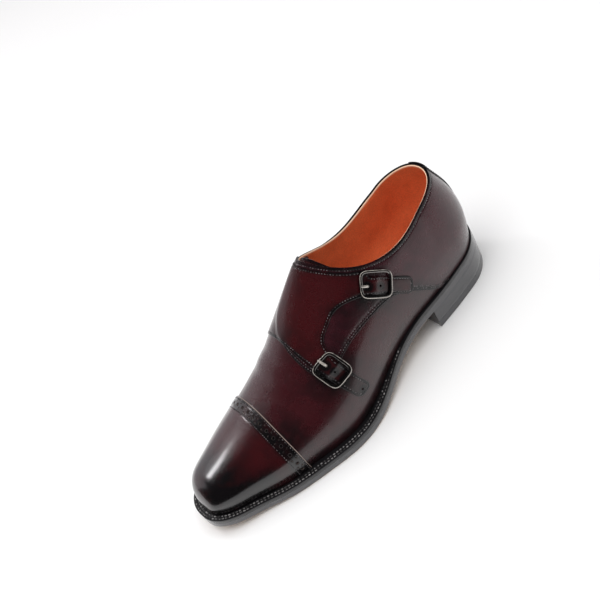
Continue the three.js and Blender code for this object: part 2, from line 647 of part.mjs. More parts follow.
const group = new THREE.Group();
group.name = 'monk_strap_shoe';
for (const [name, solid, finish] of PIECES) {
  const mesh = largest(solid).simplify(FACET_TOLERANCE).getMesh();
  const geometry = new THREE.BufferGeometry();
  geometry.setAttribute('position', new THREE.BufferAttribute(new Float32Array(mesh.vertProperties), 3));
  geometry.setIndex(new THREE.BufferAttribute(new Uint32Array(mesh.triVerts), 1));
  const flat = geometry.toNonIndexed();
  flat.computeVertexNormals();
  const node = new THREE.Mesh(flat, new THREE.MeshStandardMaterial(finish));
  node.name = name;
  group.add(node);
}

// Origin: middle of the footprint, on the ground.
const box = new THREE.Box3().setFromObject(group);
group.children.forEach((node) => node.geometry.translate(
  -(box.min.x + box.max.x) / 2, -(box.min.y + box.max.y) / 2, -box.min.z,
));

export default group;
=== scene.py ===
"""A man's left double-monk shoe in burgundy calf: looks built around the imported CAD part."""
import math

import bpy
import numpy as np
from mathutils import Matrix, Vector


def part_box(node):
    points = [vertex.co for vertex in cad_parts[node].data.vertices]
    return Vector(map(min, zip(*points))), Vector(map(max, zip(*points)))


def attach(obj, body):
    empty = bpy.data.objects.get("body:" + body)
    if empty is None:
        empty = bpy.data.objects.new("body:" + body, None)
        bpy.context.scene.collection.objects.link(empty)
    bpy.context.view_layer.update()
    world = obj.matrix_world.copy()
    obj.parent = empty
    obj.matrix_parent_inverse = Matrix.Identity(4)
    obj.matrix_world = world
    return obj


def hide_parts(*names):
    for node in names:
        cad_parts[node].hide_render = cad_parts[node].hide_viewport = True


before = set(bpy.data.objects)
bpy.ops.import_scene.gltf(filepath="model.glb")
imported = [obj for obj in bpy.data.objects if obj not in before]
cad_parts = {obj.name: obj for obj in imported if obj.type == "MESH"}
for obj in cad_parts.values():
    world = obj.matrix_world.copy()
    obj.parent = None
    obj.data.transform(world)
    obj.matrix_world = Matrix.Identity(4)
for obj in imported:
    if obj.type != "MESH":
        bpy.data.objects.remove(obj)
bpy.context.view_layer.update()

MM = 0.001

# ------------------------------------------------------------------ sizes, in millimetres
LAST_BACK, LAST_TOE = 2.0, 294.0
HEEL_RADIUS, HEEL_POWER = 33.0, 2.15
TOE_RADIUS, TOE_POWER = 24.0, 2.6
TOE_DROP, TOE_DROP_POWER = 16.0, 2.3
BACK_FADE = 90.0
HEEL_HEIGHT, HEEL_SEAT_RISE = 18.0, 4.0
BREAST, TREAD_BACK, TREAD_FRONT = 78.0, 181.0, 223.0
TOE_SPRING, SHOE_LENGTH = 8.0, 300.0
END_CROWDING = 1.2
SOLE, WELT, TOP_PIECE = 5.0, 3.2, 6.0
BELLY_AT = 0.3


def table(names, *rows):
    """Rows of numbers with named columns."""
    return dict(zip(names.split(), np.array(rows, float).T))


FEATHER = table(
    "x lateral medial",
    (2, 30.5, 29.5), (40, 35.5, 29.5), (80, 38.0, 25.0), (120, 39.5, 25.0), (155, 47.5, 31.0),
    (190, 50.0, 38.5), (215, 43.5, 41.0), (245, 33.5, 39.0), (270, 22.0, 32.0), (294, 15.5, 24.0))

SECTIONS = table(
    "x ridge_z ridge_y swell_l swell_m belly wall_l wall_m crown",
    (2, 150, 0, 3.0, 3.0, 20, .15, .15, .20),
    (40, 148, 0, 2.6, 2.5, 20, .15, .15, .20),
    (80, 142, -1, 3.0, 4.5, 22, .20, .20, .25),
    (110, 118, -5, 3.5, 7.2, 23, .30, .30, .38),
    (135, 100, -8, 3.5, 7.5, 22, .42, .45, .50),
    (165, 80, -6, 3.0, 5.2, 19, .50, .54, .55),
    (200, 56, -5, 2.5, 3.0, 16, .54, .57, .58),
    (235, 42.5, -4, 2.0, 2.0, 13, .56, .58, .60),
    (265, 36, -3, 1.5, 1.5, 11, .58, .58, .62),
    (294, 32, -3, 1.0, 1.0, 10, .58, .58, .62))

BACK_CURVE = table("z shift", (-5, 0), (0, 0), (20, -3.4), (40, -2.4), (60, 4.5), (80, 9.5), (120, 18))

SOLE_MARGIN = table(
    "x lateral medial",
    (0, 1.9, 1.9), (60, 2.6, 2.0), (110, 3.0, 1.5), (150, 6.2, 2.5), (200, 8.0, 5.0),
    (250, 7.3, 6.2), (300, 6.5, 6.5))

TOPLINE = table(
    "x lateral medial",
    (-10, 98, 98), (5, 93, 94), (30, 88.5, 91), (60, 82.5, 87.5), (85, 84, 87), (105, 91.5, 94),
    (120, 102, 103), (130, 110.5, 110), (145, 121, 121))


# ------------------------------------------------------------------ the last
class Curve:
    """Natural cubic through one column of a table."""

    def __init__(self, rows, across, name):
        self.x, self.y = rows[across], rows[name]
        n, h = len(self.x), np.diff(self.x)
        a, b = np.eye(n), np.zeros(n)
        for i in range(1, n - 1):
            a[i, i - 1:i + 2] = h[i - 1], 2 * (h[i - 1] + h[i]), h[i]
            b[i] = 6 * ((self.y[i + 1] - self.y[i]) / h[i] - (self.y[i] - self.y[i - 1]) / h[i - 1])
        self.bend = np.linalg.solve(a, b)

    def __call__(self, at):
        at = np.clip(np.asarray(at, float), self.x[0], self.x[-1])
        i = np.clip(np.searchsorted(self.x, at) - 1, 0, len(self.x) - 2)
        h = self.x[i + 1] - self.x[i]
        a = (self.x[i + 1] - at) / h
        b = 1 - a
        return (a * self.y[i] + b * self.y[i + 1]
                + ((a ** 3 - a) * self.bend[i] + (b ** 3 - b) * self.bend[i + 1]) * h * h / 6)


class TwoSided:
    """A pair of columns, lateral where `lateral` is true and medial elsewhere."""

    def __init__(self, rows, left="lateral", right="medial"):
        self.left, self.right = Curve(rows, "x", left), Curve(rows, "x", right)

    def __call__(self, x, lateral):
        return np.where(lateral, self.left(x), self.right(x))


feather_half = TwoSided(FEATHER)
sole_margin = TwoSided(SOLE_MARGIN)
topline = TwoSided(TOPLINE)
swell = TwoSided(SECTIONS, "swell_l", "swell_m")
wall_pull = TwoSided(SECTIONS, "wall_l", "wall_m")
ridge_z, ridge_y, belly, crown = (Curve(SECTIONS, "x", n) for n in ("ridge_z", "ridge_y", "belly", "crown"))
back_curve = Curve(BACK_CURVE, "z", "shift")


def smooth(t):
    t = np.clip(t, 0, 1)
    return t * t * (3 - 2 * t)


def station(t):
    near = ((1 - np.cos(np.pi * np.clip(t, 0, 1))) / 2) ** END_CROWDING
    far = ((1 + np.cos(np.pi * np.clip(t, 0, 1))) / 2) ** END_CROWDING
    return LAST_BACK + (LAST_TOE - LAST_BACK) * near / (near + far)


def station_at(x):
    share = np.clip((np.asarray(x, float) - LAST_BACK) / (LAST_TOE - LAST_BACK), 0, 1 - 1e-12)
    odds = (share / (1 - share)) ** (1 / END_CROWDING)
    return np.arccos(1 - 2 * odds / (1 + odds)) / np.pi


def rounding(s, power):
    return (1 - np.clip(s, 0, 1) ** power) ** (1 / power)


def close_plan(x):
    return (rounding((HEEL_RADIUS - (x - LAST_BACK)) / HEEL_RADIUS, HEEL_POWER)
            * rounding((x - (LAST_TOE - TOE_RADIUS)) / TOE_RADIUS, TOE_POWER))


def sole_bottom(x):
    arch = smooth((TREAD_BACK - x) / (TREAD_BACK - BREAST))
    seat = np.clip(1 - x / BREAST, 0, 1.1) ** 1.5
    toe = np.clip((x - TREAD_FRONT) / (SHOE_LENGTH - TREAD_FRONT), 0, 1.2)
    return HEEL_HEIGHT * arch + HEEL_SEAT_RISE * seat + TOE_SPRING * toe * toe


def cubic(a, b, c, d, u):
    return (1 - u) ** 3 * a + 3 * (1 - u) ** 2 * u * b + 3 * (1 - u) * u * u * c + u ** 3 * d


def last_point(x, q):
    """Point on the last. q: -1 medial feather line, 0 ridge, +1 lateral feather line."""
    x, q = np.broadcast_arrays(np.asarray(x, float), np.asarray(q, float))
    side, v = np.where(q >= 0, 1.0, -1.0), 1 - np.abs(q)
    lateral = side > 0
    shut = close_plan(x)
    drop = rounding((x - (LAST_TOE - TOE_DROP)) / TOE_DROP, TOE_DROP_POWER)
    floor = sole_bottom(x) + SOLE + WELT
    foot = feather_half(x, lateral) * shut
    wide = foot + swell(x, lateral) * shut
    low = belly(x) * drop
    high = (ridge_z(x) - floor) * drop
    mid = ridge_y(x) * side * shut
    down, up = np.clip(v / BELLY_AT, 0, 1), np.clip((v - BELLY_AT) / (1 - BELLY_AT), 0, 1)
    y = np.where(v < BELLY_AT, cubic(foot, foot + 0.55 * (wide - foot), wide, wide, down),
                 cubic(wide, wide, mid + crown(x) * (wide - mid), mid, up))
    z = np.where(v < BELLY_AT, cubic(0, 0.30 * low, 0.62 * low, low, down),
                 cubic(low, low + wall_pull(x, lateral) * (high - low), high, high, up))
    fade = np.clip(1 - (x - LAST_BACK) / BACK_FADE, 0, 1) ** 2
    return np.stack([x + back_curve(z) * fade, side * y, floor + z], -1)


def last_at(t, q):
    """The last by t instead of station; t below 0 carries on round the heel to the other side."""
    return last_point(station(np.abs(t)), np.where(t < 0, -q, q))


def last_normal(x, q):
    t, h = station_at(x), 0.004
    q = np.asarray(q, float)
    run = last_at(np.minimum(t + h, 1.0), q) - last_at(t - h, q)
    tq = np.clip(t, 0.006, 0.994)
    turn = last_at(tq, np.clip(q + h, -1, 1)) - last_at(tq, np.clip(q - h, -1, 1))
    n = np.cross(run, turn)
    n[..., 1] = np.where(t < 1e-6, 0.0, n[..., 1])
    n = np.where((t > 0.9999)[..., None], np.array([1.0, 0, 0.15]), n)
    return n / np.maximum(np.linalg.norm(n, axis=-1, keepdims=True), 1e-9)


# ------------------------------------------------------------------ sheets of leather
class Sheet:
    """Triangles on the last, with what is known at each corner: x, q, place, normal and named values."""

    def __init__(self, xs, qs):
        x, q = np.meshgrid(xs, qs, indexing="ij")
        self.know = {"x": x.ravel(), "q": q.ravel()}
        self.know["place"] = last_point(self.know["x"], self.know["q"])
        self.know["normal"] = last_normal(self.know["x"], self.know["q"])
        i = np.arange(len(xs) * len(qs)).reshape(len(xs), len(qs))
        a, b, c, d = i[:-1, :-1].ravel(), i[1:, :-1].ravel(), i[1:, 1:].ravel(), i[:-1, 1:].ravel()
        self.tris = np.concatenate([np.stack([a, b, c], 1), np.stack([a, c, d], 1)])

    def __getitem__(self, name):
        return self.know[name]

    def __setitem__(self, name, values):
        self.know[name] = np.asarray(values, float)

    def cut(self, values, level=0.0, keep_both=False):
        """Cuts along values = level. Keeps what is above, or both parts with new corners on the line."""
        f = np.asarray(values, float) - level
        f = np.where(np.abs(f) < 0.02, 0.0, f)
        above = f >= 0
        tris = self.tris
        count = above[tris].sum(1)
        whole = tris[count == 3]
        below = tris[count == 0]
        out, under = [whole], [below]
        mixed = tris[(count == 1) | (count == 2)]
        if len(mixed):
            lone = np.where((count[(count == 1) | (count == 2)] == 1)[:, None], above[mixed], ~above[mixed])
            k = lone.argmax(1)
            r = np.arange(len(mixed))
            a, b, c = mixed[r, k], mixed[r, (k + 1) % 3], mixed[r, (k + 2) % 3]
            edges = np.sort(np.concatenate([np.stack([a, b], 1), np.stack([a, c], 1)]), 1)
            unique, where = np.unique(edges, axis=0, return_inverse=True)
            where = where.ravel()
            lo, hi = unique[:, 0], unique[:, 1]
            share = np.clip(f[lo] / (f[lo] - f[hi] + 1e-30), 0, 1)
            first = len(f)
            for name, val in self.know.items():
                s = share.reshape(-1, *([1] * (val.ndim - 1)))
                self.know[name] = np.concatenate([val, val[lo] * (1 - s) + val[hi] * s])
            ab, ac = first + where[:len(mixed)], first + where[len(mixed):]
            alone = above[a]
            tip = np.stack([a, ab, ac], 1)
            rest = np.concatenate([np.stack([ab, b, c], 1), np.stack([ab, c, ac], 1)])
            twice = np.concatenate([alone, alone])
            out += [tip[alone], rest[~twice]]
            under += [tip[~alone], rest[twice]]
        self.tris = np.concatenate(out + (under if keep_both else []))
        self._tidy()
        return self

    def _tidy(self):
        p = self.know["place"]
        t = self.tris
        area = np.linalg.norm(np.cross(p[t[:, 1]] - p[t[:, 0]], p[t[:, 2]] - p[t[:, 0]]), axis=1)
        distinct = (t[:, 0] != t[:, 1]) & (t[:, 1] != t[:, 2]) & (t[:, 2] != t[:, 0])
        t = t[distinct & (area > 1e-9)]
        used, back = np.unique(t, return_inverse=True)
        self.tris = back.reshape(-1, 3)
        self.know = {name: val[used] for name, val in self.know.items()}
        n = self.know["normal"]
        self.know["normal"] = n / np.maximum(np.linalg.norm(n, axis=1, keepdims=True), 1e-9)

    def rim(self):
        """Directed edges that belong to one triangle only."""
        e = np.concatenate([self.tris[:, [0, 1]], self.tris[:, [1, 2]], self.tris[:, [2, 0]]])
        key = np.sort(e, 1)
        _, first, n = np.unique(key, axis=0, return_index=True, return_counts=True)
        return e[first[n == 1]]

    def weld(self):
        """Joins corners in one place, so that the sheet closes round the heel."""
        _, first, back = np.unique(np.round(self.know["place"] * 500), axis=0, return_index=True,
                                   return_inverse=True)
        self.tris = back.ravel()[self.tris]
        self.know = {name: val[first] for name, val in self.know.items()}
        self._tidy()
        return self

    def refine(self, wanted):
        """Halves the edges of every triangle that has a wanted corner."""
        e = np.sort(self.tris[:, [[0, 1], [1, 2], [2, 0]]], 2)
        unique, where = np.unique(e.reshape(-1, 2), axis=0, return_inverse=True)
        where = where.reshape(-1, 3)
        marked = np.zeros(len(unique), bool)
        marked[where[wanted[self.tris].any(1)].ravel()] = True
        first = len(self.know["x"])
        number = first - 1 + np.cumsum(marked)
        lo, hi = unique[marked].T
        self.know = {name: np.concatenate([val, (val[lo] + val[hi]) / 2]) for name, val in self.know.items()}
        m, mid, t = marked[where], number[where], self.tris
        parts = [t[m.sum(1) == 0]]
        full = m.sum(1) == 3
        (v0, v1, v2), (a, b, c) = t[full].T, mid[full].T
        parts += [np.stack(p, 1) for p in ((v0, a, c), (a, v1, b), (c, b, v2), (a, b, c))]
        for count in (1, 2):
            some = m.sum(1) == count
            k = np.where(count == 1, m[some].argmax(1), (m[some].argmin(1) + 1) % 3)
            r = np.arange(len(k))
            v = [t[some][r, (k + j) % 3] for j in range(3)]
            a, b = mid[some][r, k], mid[some][r, (k + 1) % 3]
            split = (((v[0], a, v[2]), (a, v[1], v[2])) if count == 1 else
                     ((a, v[1], b), (v[0], a, b), (v[0], b, v[2])))
            parts += [np.stack(p, 1) for p in split]
        self.tris = np.concatenate(parts)
        self._tidy()
        return self

    def solid(self, top, bottom):
        """Closed skin between two heights over the last: corners, faces and the corner each came from."""
        n = len(self.know["x"])
        place, normal = self.know["place"], self.know["normal"]
        verts = np.concatenate([place + normal * np.reshape(top * np.ones(n), (-1, 1)),
                                place + normal * np.reshape(bottom * np.ones(n), (-1, 1))])
        rim = self.rim()
        wall = np.concatenate([np.stack([rim[:, 1], rim[:, 0], rim[:, 0] + n], 1),
                               np.stack([rim[:, 1], rim[:, 0] + n, rim[:, 1] + n], 1)])
        faces = np.concatenate([self.tris, self.tris[:, ::-1] + n, wall])
        return verts, faces, np.concatenate([np.arange(n), np.arange(n)])


def polyline_distance(points, line, closed=False):
    """Shortest distance from each point to a line of straight runs."""
    a, b = line[:-1], line[1:]
    if closed:
        a, b = line, np.roll(line, -1, axis=0)
    best = np.full(len(points), 1e9)
    for p, q in zip(a, b):
        d = q - p
        s = np.clip(((points - p) @ d) / max(d @ d, 1e-12), 0, 1)
        best = np.minimum(best, ((points - p - s[:, None] * d) ** 2).sum(1))
    return np.sqrt(best)


def inside(x, q, outline):
    """True where (x, q) lies in a closed outline."""
    hit = np.zeros(len(x), bool)
    for (x0, q0), (x1, q1) in zip(outline, np.roll(outline, -1, axis=0)):
        if q0 == q1:
            continue
        cross = (q0 > q) != (q1 > q)
        hit ^= cross & (x < (x1 - x0) * (q - q0) / (q1 - q0) + x0)
    return hit


def through(rows, count=60):
    """Smooth line through the rows of a table of x and q, as (x, q) pairs."""
    pts = np.stack([rows["x"], rows["q"] * 60], 1)
    along = np.concatenate([[0], np.cumsum(np.linalg.norm(np.diff(pts, axis=0), axis=1))])
    rows = {"s": along, "x": rows["x"], "q": rows["q"]}
    s = np.linspace(0, along[-1], count)
    return np.stack([Curve(rows, "s", "x")(s), Curve(rows, "s", "q")(s)], 1)


def on_last(line):
    return last_point(line[:, 0], np.clip(line[:, 1], -1, 1))


def inward(sheet, outline):
    """Distance from the outline in millimetres, positive inside."""
    d = polyline_distance(sheet["place"], on_last(outline), closed=True)
    return np.where(inside(sheet["x"], sheet["q"], outline), d, -d)


def below_topline(sheet):
    """How far each corner lies under the edge of the collar."""
    p = sheet["place"]
    s = smooth((p[:, 1] + 30) / 60)
    return topline(p[:, 0], False) * (1 - s) + topline(p[:, 0], True) * s - p[:, 2]


def chains(sheet, values, level, lift=0.0):
    """Lines on the sheet where values = level, as ordered runs of place and normal, lifted off it."""
    face = sheet["place"] + sheet["normal"] * np.reshape(lift * np.ones(len(sheet["x"])), (-1, 1))
    f = np.asarray(values, float) - level
    f = np.where(f == 0, 1e-6, f)
    up = f > 0
    t = sheet.tris[(up[sheet.tris].sum(1) % 3) != 0]
    links, spots = {}, {}
    for tri in t:
        ends = []
        for i, j in ((0, 1), (1, 2), (2, 0)):
            a, b = sorted((int(tri[i]), int(tri[j])))
            if up[a] != up[b]:
                ends.append((a, b))
                spots[(a, b)] = f[a] / (f[a] - f[b])
        if len(ends) == 2:
            links.setdefault(ends[0], []).append(ends[1])
            links.setdefault(ends[1], []).append(ends[0])
    runs, seen = [], set()
    for start in sorted(links, key=lambda k: (len(links[k]) != 1, k)):
        if start in seen:
            continue
        run, here = [start], start
        seen.add(start)
        while True:
            nxt = [k for k in links[here] if k not in seen]
            if not nxt:
                break
            here = nxt[0]
            seen.add(here)
            run.append(here)
        if len(run) > 3:
            a, b = np.array(run).T
            s = np.array([spots[k] for k in run])[:, None]
            place = face[a] * (1 - s) + face[b] * s
            normal = sheet["normal"][a] * (1 - s) + sheet["normal"][b] * s
            runs.append((place, normal / np.linalg.norm(normal, axis=1, keepdims=True)))
    return runs


# ------------------------------------------------------------------ seams and edges of the panels
QUARTER_EDGE = table(
    "x q", (148, -.16), (160, -.09), (168, -.02), (174, .04), (178, .12), (180, .22), (179.5, .32), (175, .40), (168, .44),
    (159.5, .45), (148, .469), (129.4, .519), (105.6, .575), (90.8, .631), (75, .80), (62.2, .988), (56, 1.08))
CAP_SEAM = table("x q", (213, -1.05), (216, -.6), (218, -.25), (219.8, 0), (222.5, .2), (224.8, .45),
                 (225, .75), (224, 1.05))
FLAP_FRONT = table("x q", (138, -1.05), (148, -.85), (158, -.66), (167, -.46), (171.5, -.27), (173.4, -.12),
                   (174.2, 0), (175.3, .11), (176.4, .2), (176, .28), (173, .36))
FLAP_REAR = table("x q", (162, .40), (160, .335), (150.9, .312), (140.8, .322), (129.4, .37), (120.9, .42),
                  (112, .455), (106, .44))
BUCKLES = {
    "upper": dict(x=103.2, z=74.4, run=(-.735, -.678), long=25.0, wide=21.0, tail=30.5, strap=13.0,
                  shift=-1.3, bend=-1.2),
    "lower": dict(x=169.0, z=56.1, run=(-.208, -.978), long=22.4, wide=20.4, tail=28.5, strap=13.0,
                  shift=0.0, bend=3.0),
}


def strap_middle(spec, along):
    """How far the middle of the strap stands aside of the buckle's own line."""
    return spec["shift"] + spec["bend"] * (np.maximum(along, 0) / spec["tail"]) ** 1.6


CAP_LEATHER, QUARTER_LEATHER, FLAP_TOP, MEDIAL_TOP = 1.1, 0.95, 2.0, 1.0
WIRE_WIDE, WIRE_HIGH, PRONG_THICK = 2.5, 2.05, 1.8


class Seat:
    """Where a buckle sits on the lateral side: its place, the way the strap runs and the way across."""

    def __init__(self, spec):
        lo, hi = 0.02, 1 - BELLY_AT
        for _ in range(40):
            mid = (lo + hi) / 2
            lo, hi = (mid, hi) if last_point(spec["x"], mid)[2] > spec["z"] else (lo, mid)
        self.x, self.q = spec["x"], (lo + hi) / 2
        self.place = last_point(self.x, self.q)
        self.up = last_normal(np.array([self.x]), np.array([self.q]))[0]
        run = np.array([spec["run"][0], 0.0, spec["run"][1]])
        run -= self.up * (run @ self.up)
        self.run = run / np.linalg.norm(run)
        self.across = np.cross(self.up, self.run)

    def spot(self, a, b):
        """(x, q) of the leather `a` along the strap and `b` across it."""
        a, b = np.broadcast_arrays(np.asarray(a, float), np.asarray(b, float))
        x, q = np.full(a.shape, float(self.x)), np.full(a.shape, float(self.q))

        def miss(px, pq):
            d = last_point(px, pq) - self.place
            return d @ self.run - a, d @ self.across - b
        for _ in range(14):
            m0, m1 = miss(x, q)
            a0, a1 = miss(x + .05, q)
            b0, b1 = miss(x, q + .001)
            ax, ay, bx, by = (a0 - m0) / .05, (a1 - m1) / .05, (b0 - m0) / .001, (b1 - m1) / .001
            det = ax * by - bx * ay
            x = x - (m0 * by - bx * m1) / det
            q = np.clip(q - (ax * m1 - ay * m0) / det, .02, .98)
        return np.stack([x, q], -1)

    def on(self, a, b, lift):
        s = self.spot(a, b)
        n = last_normal(s[..., 0], s[..., 1])
        return last_point(s[..., 0], s[..., 1]) + n * np.reshape(lift * np.ones(len(s)), (-1, 1)), n

    def along(self, place):
        d = place - self.place
        return d @ self.run, d @ self.across


seats = {name: Seat(spec) for name, spec in BUCKLES.items()}


def strap_outline(spec):
    """Local outline of a strap from inside the flap to its blunt, rounded end."""
    half = spec["strap"] / 2
    turn = np.pi * (np.linspace(0, 1, 15) - .5)
    r = (np.abs(np.cos(turn)) ** 3 + np.abs(np.sin(turn)) ** 3) ** (-1 / 3)
    end = np.stack([spec["tail"] - half * .8 + half * .8 * np.cos(turn) * r, half * np.sin(turn) * r], 1)
    corners = [np.array([[-16, half + 1.2], [-16, -half - 1.2], [0, -half - .4], [12, -half], [20, -half]]), end,
               np.array([[20, half], [12, half], [0, half + .4]])]
    pts = np.concatenate(corners)
    pts[:, 1] += strap_middle(spec, pts[:, 0])
    out = []
    for p, q in zip(pts, np.roll(pts, -1, axis=0)):
        n = max(1, int(np.linalg.norm(q - p) / 2))
        out.append(p + (q - p) * np.linspace(0, 1, n, endpoint=False)[:, None])
    return np.concatenate(out)


def seam_side(sheet, line, region):
    """Distance to an open seam, positive inside the region that it bounds."""
    d = polyline_distance(sheet["place"], on_last(line))
    return np.where(inside(sheet["x"], sheet["q"], np.concatenate([line, region])), d, -d)


def along_heel(sheet):
    """Distance from the back seam."""
    v = np.linspace(0, 1, 60)
    return polyline_distance(sheet["place"], last_point(np.full(60, LAST_BACK), v))


everything = Sheet(station(np.linspace(0, 1, 240)), np.linspace(-1, 1, 141)).weld()
collar_line = max(chains(everything, below_topline(everything), 0), key=lambda run: len(run[0]))


def from_topline(sheet):
    d = polyline_distance(sheet["place"], collar_line[0], closed=True)
    return np.where(below_topline(sheet) > 0, d, -d)


def quarter_depth(sheet):
    return seam_side(sheet, through(QUARTER_EDGE, 110), np.array([[-20, 1.08], [-20, -.16]]))


def flap_depth(sheet):
    front, rear = through(FLAP_FRONT, 70), through(FLAP_REAR, 60)
    region = np.concatenate([front, rear, [[60, 0], [-20, 0], [-20, -1.05]]])
    d = np.minimum(polyline_distance(sheet["place"], on_last(front)),
                   polyline_distance(sheet["place"], on_last(rear)))
    d = np.where(inside(sheet["x"], sheet["q"], region), d, -d)
    ledge = 3.6 * smooth((sheet["q"] + .5) / .3) * smooth((sheet["x"] - 60) / 30)
    body = np.minimum(d, from_topline(sheet) - ledge)
    for name, spec in BUCKLES.items():
        outline = seats[name].spot(*strap_outline(spec).T)
        strap = inward(sheet, outline)
        near = np.linalg.norm(sheet["place"] - seats[name].place, axis=1) < 50
        body = np.where(near, np.maximum(body, strap), body)
    return body


# ------------------------------------------------------------------ the sole's outline
def sole_edge(t, side, extra=0.0, margin=True):
    """Plan outline of the sole by t on one side, carried outwards by `extra`."""
    def edge(u):
        x = station(u)
        return np.stack([x, side * feather_half(x, side > 0) * close_plan(x)], -1)
    t = np.asarray(t, float)
    run = edge(np.clip(t + .004, 0, 1)) - edge(np.clip(t - .004, 0, 1))
    run[t <= 0] = [0, side]
    run[t >= 1] = [0, -side]
    out = side * np.stack([-run[:, 1], run[:, 0]], 1)
    out /= np.linalg.norm(out, axis=1)[:, None]
    x = station(t)
    own, other = sole_margin(x, side > 0), sole_margin(x, side < 0)
    stand = np.where((t <= 0) | (t >= 1), (own + other) / 2, own)
    return edge(t) + out * np.reshape((stand if margin else 0) + extra * np.ones(len(t)), (-1, 1))


low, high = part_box("outsole")
ts = np.linspace(0, 1, 41)
SHIFT = np.array([low[0] / MM - sole_edge(ts, 1)[:, 0].min(),
                  high[1] / MM - sole_edge(ts, 1)[:, 1].max(), 0.0])


# ------------------------------------------------------------------ making pieces
def make(name, verts, faces, values=None, sharp=48):
    """Mesh object from corners in the last's own millimetres."""
    mesh = bpy.data.meshes.new(name)
    verts = (np.asarray(verts, float) + SHIFT) * MM
    mesh.from_pydata(verts.tolist(), [], [tuple(int(i) for i in face) for face in faces])
    for key, val in (values or {}).items():
        layer = mesh.attributes.new(key, "FLOAT", "POINT")
        layer.data.foreach_set("value", np.asarray(val, np.float32))
    mesh.shade_smooth()
    mesh.set_sharp_from_angle(angle=math.radians(sharp))
    piece = bpy.data.objects.new(name, mesh)
    bpy.context.scene.collection.objects.link(piece)
    return piece


def dress(piece, material, slot, *nodes):
    """Gives a finished piece its material, hangs it on the root and hides the CAD parts that it stands in for."""
    if material is not None:
        piece.data.materials.clear()
        piece.data.materials.append(material)
    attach(piece, "root")
    if nodes:
        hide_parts(*nodes)
    return piece


# Soft creases of a little wear: line across the last by x and q, half width and rise in millimetres.
CREASES = (
    (((176, -.36), (184, -.12), (188, .12), (187, .30)), 4.2, -.34),
    (((184, -.40), (193, -.14), (197, .12), (195, .34)), 4.0, .24),
    (((190, -.42), (201, -.15), (205, .14), (202, .38)), 4.6, -.30),
    (((182, .36), (190, .47), (193, .60)), 3.6, -.28),
    (((150, .52), (163, .60), (176, .63)), 5.0, .30),
    (((118, .50), (132, .50), (146, .47)), 4.5, -.22),
    (((62, .30), (78, .36), (92, .33)), 5.0, -.30),
    (((58, .42), (74, .48), (88, .47)), 5.0, .22),
    (((60, -.30), (80, -.38), (100, -.36)), 5.0, -.30),
    (((28, .34), (40, .44), (46, .58)), 5.5, -.25),
    (((28, -.34), (42, -.46), (48, -.60)), 5.5, -.25),
    (((178, -.50), (186, -.62), (190, -.74)), 4.2, -.30),
)


def relief(sheet):
    """Rise and fall of the creases at each corner, shared by every layer of leather there."""
    total = np.zeros(len(sheet["x"]))
    for line, half, rise in CREASES:
        rows = table("x q", *line)
        d = polyline_distance(sheet["place"], on_last(through(rows, 16)))
        total += rise * np.exp(-(d / half) ** 2)
    return total


def leather_piece(name, sheet, top, bottom, edge, extra=None, sharp=48):
    """Panel of leather: `edge` is each corner's distance from the nearest cut edge."""
    wave = relief(sheet)
    verts, faces, source = sheet.solid(top + wave, bottom + wave)
    low = smooth((np.abs(sheet["q"]) - .9) / .09)
    values = {"edge": np.asarray(edge)[source] * MM, "dull": low[source]}
    for key, val in (extra or {}).items():
        values[key] = np.asarray(val)[source]
    return make(name, verts, faces, values, sharp)


def rounded(height, edge, radius=.55, drop=.45):
    """Height of a panel's face, rolled down where it nears its cut edge."""
    s = 1 - np.clip(edge / radius, 0, 1)
    return height - drop * (1 - np.sqrt(1 - s ** 2))


def groove(edge, at, half=.5, deep=.24):
    """Trough that a row of stitches pulls into the leather."""
    return -deep * np.exp(-((edge - at) / half) ** 2)


# ------------------------------------------------------------------ shader groups
def node(tree, kind, at=(0, 0), **settings):
    made = tree.nodes.new(kind)
    made.location = at
    for key, val in settings.items():
        setattr(made, key, val)
    return made


def link(tree, *pairs):
    for source, target in pairs:
        tree.links.new(source, target)


def group(name, inputs, outputs):
    """Empty shader group with named sockets: each input is (name, kind, default)."""
    tree = bpy.data.node_groups.new(name, "ShaderNodeTree")
    for label, kind, default in inputs:
        socket = tree.interface.new_socket(label, in_out="INPUT", socket_type="NodeSocket" + kind)
        socket.default_value = default
    for label, kind in outputs:
        tree.interface.new_socket(label, in_out="OUTPUT", socket_type="NodeSocket" + kind)
    return tree, node(tree, "NodeGroupInput", (-900, 0)), node(tree, "NodeGroupOutput", (900, 0))


def maths(tree, operation, a, b=None, at=(0, 0), clamp=False):
    made = node(tree, "ShaderNodeMath", at, operation=operation, use_clamp=clamp)
    for socket, value in zip(made.inputs, (a, b)):
        if value is None:
            continue
        if isinstance(value, (int, float)):
            socket.default_value = value
        else:
            tree.links.new(value, socket)
    return made.outputs[0]


def spread(tree, value, low, high, out_low, out_high, at=(0, 0)):
    made = node(tree, "ShaderNodeMapRange", at)
    for socket, v in zip(list(made.inputs)[:5], (value, low, high, out_low, out_high)):
        if isinstance(v, (int, float)):
            socket.default_value = v
        else:
            tree.links.new(v, socket)
    return made.outputs[0]


def noise(tree, coords, scale, detail=3.0, rough=.55, at=(0, 0)):
    made = node(tree, "ShaderNodeTexNoise", at)
    made.inputs["Scale"].default_value = scale
    made.inputs["Detail"].default_value = detail
    made.inputs["Roughness"].default_value = rough
    tree.links.new(coords, made.inputs["Vector"])
    return made.outputs["Fac"]


def blend_colour(tree, mask, a, b, at=(0, 0), mode="MIX"):
    made = node(tree, "ShaderNodeMix", at, data_type="RGBA", blend_type=mode)
    for socket, value in ((made.inputs[0], mask), (made.inputs[6], a), (made.inputs[7], b)):
        if isinstance(value, (int, float)):
            socket.default_value = value
        elif isinstance(value, tuple):
            socket.default_value = value
        else:
            tree.links.new(value, socket)
    return made.outputs[2]


